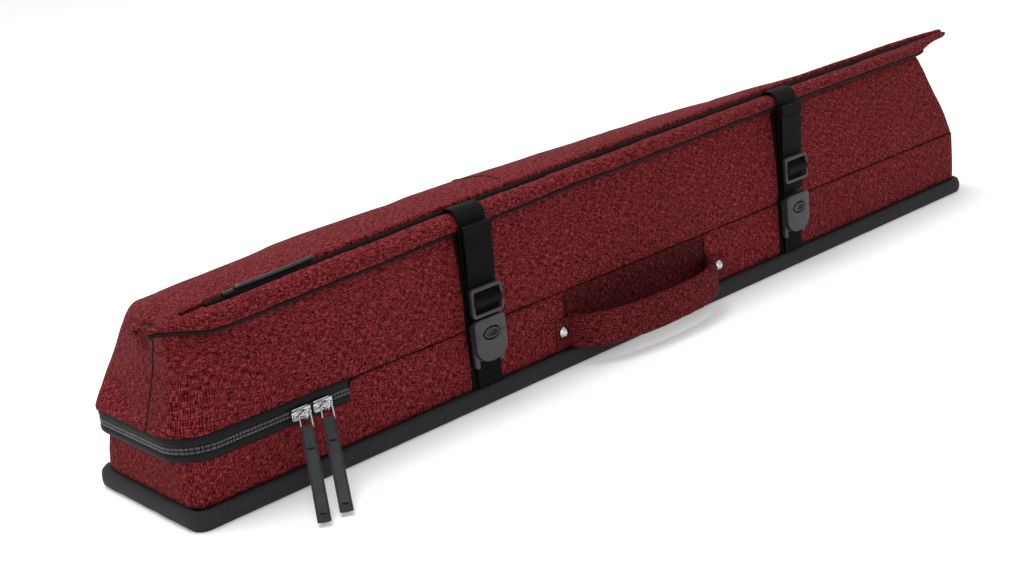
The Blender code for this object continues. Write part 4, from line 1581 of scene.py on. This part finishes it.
def plate_outline(half, tall):
    """Two rounded shoulders at the top and one full curve at the foot."""
    outline = []
    for side, start in ((1, 0), (-1, 90)):
        for c, s in arc(0, 0, 1, start, 90, 8):
            outline.append((side * (half - 4.5 * MM) + 4.5 * MM * c, tall - 3.5 * MM + 3.5 * MM * s))
    for c, s in arc(0, 0, 1, 180, 180, 24):
        outline.append((half * math.copysign(abs(c) ** 0.8, c), -4 * MM + 12 * MM * s))
    return outline


def buckle_plate(where):
    """The front of the buckle: grooved round its tab, parted across and swept back at its edges."""
    x, _, z = BUCKLES[where]
    half, tall = 14.3 * MM, 16 * MM
    plate = moulding(f"buckle_{where}", placed(plate_outline(half, tall), x, z), -70.2 * MM, -65.8 * MM)
    tab_z = z + TAB_RISE
    cut_away(
        plate,
        moulding("groove", press_tab_outline(where, 1.0), -80 * MM, -60 * MM),
        block(
            "parting", (x - 20 * MM, -71 * MM, tab_z - 0.2 * MM), (x + 20 * MM, -69.9 * MM, tab_z + 0.2 * MM),
        ),
    )
    round_edges(plate, 0.55 * MM, 3, 50)
    for vertex in plate.data.vertices:
        across = ((vertex.co.x - x) / half) ** 2
        if vertex.co.y < -68 * MM:
            vertex.co.y += 0.9 * MM * across + 0.7 * MM * max((z - 2 * MM - vertex.co.z) / tall, 0) ** 2
    low, high = (7.2, -69.2, 0.2), (9.4, -66.4, 2.6)
    bridge = block("bridge", *((x + a * MM, b * MM, tab_z + c * MM) for a, b, c in (low, high)))
    round_edges(bridge, 0.4 * MM, 2)
    return merge(f"buckle_{where}", plate, bridge)


def press_tab(where):
    tab = moulding(f"press_tab_{where}", press_tab_outline(where, -0.2), -70.4 * MM, -67.0 * MM, 0.5 * MM)
    edit_faces(tab, lambda c, n: n.y < -0.95 and c.y < -70.2 * MM)
    bpy.ops.mesh.inset(thickness=1.6 * MM)
    bpy.ops.transform.translate(value=(0, 0.55 * MM, 0))
    leave_edit()
    return tab


print("plate outline", len(plate_outline(14.3 * MM, 16 * MM)), "points")

# %% [markdown]
# The half that stays on the case is a deeper frame behind the plate. Its foot is open, and a round
# bar across it holds the lower webbing.

# %% The latch, and the buckles put together
def latch_frame(where):
    """The half of the buckle that stays on the case: its side lugs and foot show below the plate."""
    x, _, z = BUCKLES[where]
    outline = placed(rounded_outline(13.6 * MM, -20.5 * MM, 12.5 * MM, 2.2 * MM, 4), x, z)
    latch = moulding(f"latch_{where}", outline, -65.0 * MM, -61.9 * MM)
    window = placed(rounded_outline(9.6 * MM, -24.0 * MM, -12.2 * MM, 1.0 * MM, 3), x, z)
    cut_away(latch, moulding("window", window, -70 * MM, -58 * MM))
    round_edges(latch, 0.5 * MM, 2, 40)
    ends = [(x + side * 11 * MM, -62.9 * MM, z - 15.5 * MM) for side in SIDES]
    bar = wire("latch_bar", ends, 1.0 * MM)
    return merge(f"latch_{where}", latch, bar)


for where in BUCKLES:
    dress(glide_frame(where), PLASTIC, "plastic", f"glide_{where}", (f"strap_{where}_glide",))
    dress(buckle_plate(where), PLASTIC, "plastic", f"strap_{where}", (f"strap_{where}_plate",))
    dress(press_tab(where), PLASTIC, "plastic", f"button_{where}", (f"strap_{where}_button",))
    dress(latch_frame(where), PLASTIC, "plastic", "case", (f"strap_{where}_frame",))
print("buckles at mm", [round(x / MM) for x, _, _ in BUCKLES.values()])

# %% [markdown]
# ## The padded grip
# The grip is a canvas sleeve over a foam core. Between its flat riveted ends it is thick and stands
# away from the case. One outline is carried along its line while its thickness grows and shrinks,
# and the ends bend where the cloth meets the wall.

# %% The grip
GRIP_Z = 27.5


GRIP_LINE = [
    (-110, -58.9), (-104, -59.0), (-98.5, -59.8), (-94, -64.5), (-88, -72.5), (-76, -79.5), (-60, -84),
    (-38, -87), (-14, -88.3), (8, -87.5), (28, -84.6), (42, -79.5), (51, -71.8), (56.5, -64.6),
    (62, -60.0), (68, -59.1), (80, -58.9),
]


def grip_rows():
    line = [Vector(pair) for pair in smooth_pairs(GRIP_LINE, 6)]
    rows = []
    last = len(line) - 1
    for k, p in enumerate(line):
        along = (line[min(k + 1, last)] - line[max(k - 1, 0)]).normalized()
        out = Vector((along.y, -along.x))
        ends = min(eased(p.x, -106, -84), 1 - eased(p.x, 50, 76))
        thick = 0.9 + 3.7 * ends + 1.2 * math.exp(-((p.x + 95) / 3) ** 2)
        tall = 10.4 + 2.7 * min(eased(p.x, -99.5, -96.5), 1 - eased(p.x, 60, 64))
        droop = -1.2 * ends * math.sin(math.pi * k / last)
        ring = []
        for c, s in circle(28):
            across = p + out * thick * math.copysign(abs(c) ** 0.75, c)
            height = GRIP_Z + droop + tall * math.copysign(abs(s) ** 0.55, s)
            ring.append((across.x * MM, across.y * MM, height * MM))
        rows.append(ring)
    print("grip length mm", round(sum((b - a).length for a, b in zip(line, line[1:]))))
    return rows


grip = lay_cloth("grip_cloth", grip_rows(), ring=True)
close_ends(grip)
ripple(grip, 0.7 * MM, 0.012)
# The grip's darker canvas is painted shade.
dress(grip, GRIP_SHADE_CANVAS, "canvas", covers=("grip", "grip_end_left", "grip_end_right"))
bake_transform(grip)

print("grip faces", len(grip.data.polygons))

# %% [markdown]
# A domed cap on a thin washer pins each end of the grip. It is turned: one line of radii and
# heights carried round a circle. A dark line marks each side of the panel behind the grip.

# %% Rivets and the edges of the recess
RIVETS = {"left": -0.103, "right": 0.073}
RECESS_EDGES = {"left": -97.2, "right": 58.8}


def rivet(side, x):
    """A domed cap on a thin washer, turned from a line of circles."""
    profile = [
        (0.05, 2.9), (1.3, 2.75), (2.5, 2.3), (3.3, 1.6), (3.8, 0.7), (4.3, 0.55), (4.5, 0.2), (4.4, -0.6),
    ]
    rows = [
        [(x + radius * c * MM, (-60.4 - lift) * MM, (GRIP_Z + radius * s) * MM) for c, s in circle(32)]
        for radius, lift in profile
    ]
    cap = lay_cloth(f"rivet_{side}_cap", rows, ring=True)
    close_ends(cap)
    return cap


for side, x in RECESS_EDGES.items():
    line = [(x * MM, -58.3 * MM, z * MM) for z in range(15, 57, 3)]
    dress(wire(f"recess_edge_{side}", line, 0.55 * MM, sides=2), SEAM_AND_SHADE_THREAD, "canvas", "case")
for side, x in RIVETS.items():
    dress(rivet(side, x), NICKEL, "chrome", "case", (f"rivet_{side}",))
print("rivets", len(RIVETS), "recess edges", len(RECESS_EDGES))

# %% [markdown]
# ## Seams
# What tells the eye that the case is sewn is its seams: a dark line up the near end where two panels
# meet, a curved one across the roof and stitches beside the mouth. The dark line under the lip, made
# with the lip, is painted shade. Each seam is a thread laid on the cloth. Rays shot at the pocket find the
# surface under it.

# %% Threads that follow the cloth
bag_surface = BVHTree.FromPolygons(
    [v.co.copy() for v in bag.data.vertices], [list(f.vertices) for f in bag.data.polygons],
)


def laid(points, direction):
    """Points carried along a direction until they meet the pocket."""
    direction = Vector(direction)
    out = []
    for p in smooth_line(points, 6):
        place, _, _, _ = bag_surface.ray_cast(p - direction * 0.15, direction)
        if place:
            out.append(place - direction * 0.2 * MM)
    return out


def sewn_line(name, points, radius):
    made = wire(name, points, radius, sides=2)
    dress(made, SEAM_AND_SHADE_THREAD, "canvas")
    lifts(made)


NEAR_SEAM = [(-0.017, 0.059), (-0.0185, 0.075), (-0.022, 0.095), (-0.026, 0.108), (-0.030, 0.120)]
ROOF_SEAM = [
    (-0.118, 0.030), (-0.1175, 0.012), (-0.115, 0.000), (-0.1165, -0.014), (-0.120, -0.026),
    (-0.127, -0.036), (-0.131, -0.0432),
]
sewn_line("near_end_seam", laid([(-0.43, y, z) for y, z in NEAR_SEAM], (1, 0, 0)), 0.5 * MM)
sewn_line("roof_seam", laid([(x, y, 0.16) for x, y in ROOF_SEAM], (0, 0, -1)), 0.42 * MM)


def roof_at(x, y):
    return bag_surface.ray_cast(Vector((x, y, 0.2)), Vector((0, 0, -1)))[0]


def stitch_row(name, y, x0, x1, pitch=3.6 * MM, length=2.5 * MM):
    places = []
    x = x0
    while x < x1:
        here, there = roof_at(x, y), roof_at(x + MM, y)
        if here and there:
            places.append((here + Vector((0, 0, 0.1 * MM)), there - here))
        x += pitch
    lifts(stitched(name, places, length, 0.3 * MM, RED_THREAD))


stitch_row("roof_stitches", -0.0375, -0.392, 0.35)

# %% [markdown]
# ## Inside the case
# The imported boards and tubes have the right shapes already. They get the felt, board and tube
# finishes that show when the end is lifted.

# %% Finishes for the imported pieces
INNER = {"tray_shell": FELT, "mouth_plate": FELT, "deck_board": FELT, "base_board": BOARD}
for tube in ("butt_1", "butt_2", "shaft_1", "shaft_2", "shaft_3", "shaft_4"):
    INNER[f"cue_tube_{tube}"] = NYLON
for node, finish in INNER.items():
    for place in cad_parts[node].material_slots:
        place.material = finish
left = [n for n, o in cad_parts.items() if not o.hide_render and n not in INNER]
print("packed nodes still plain:", left)

# %% [markdown]
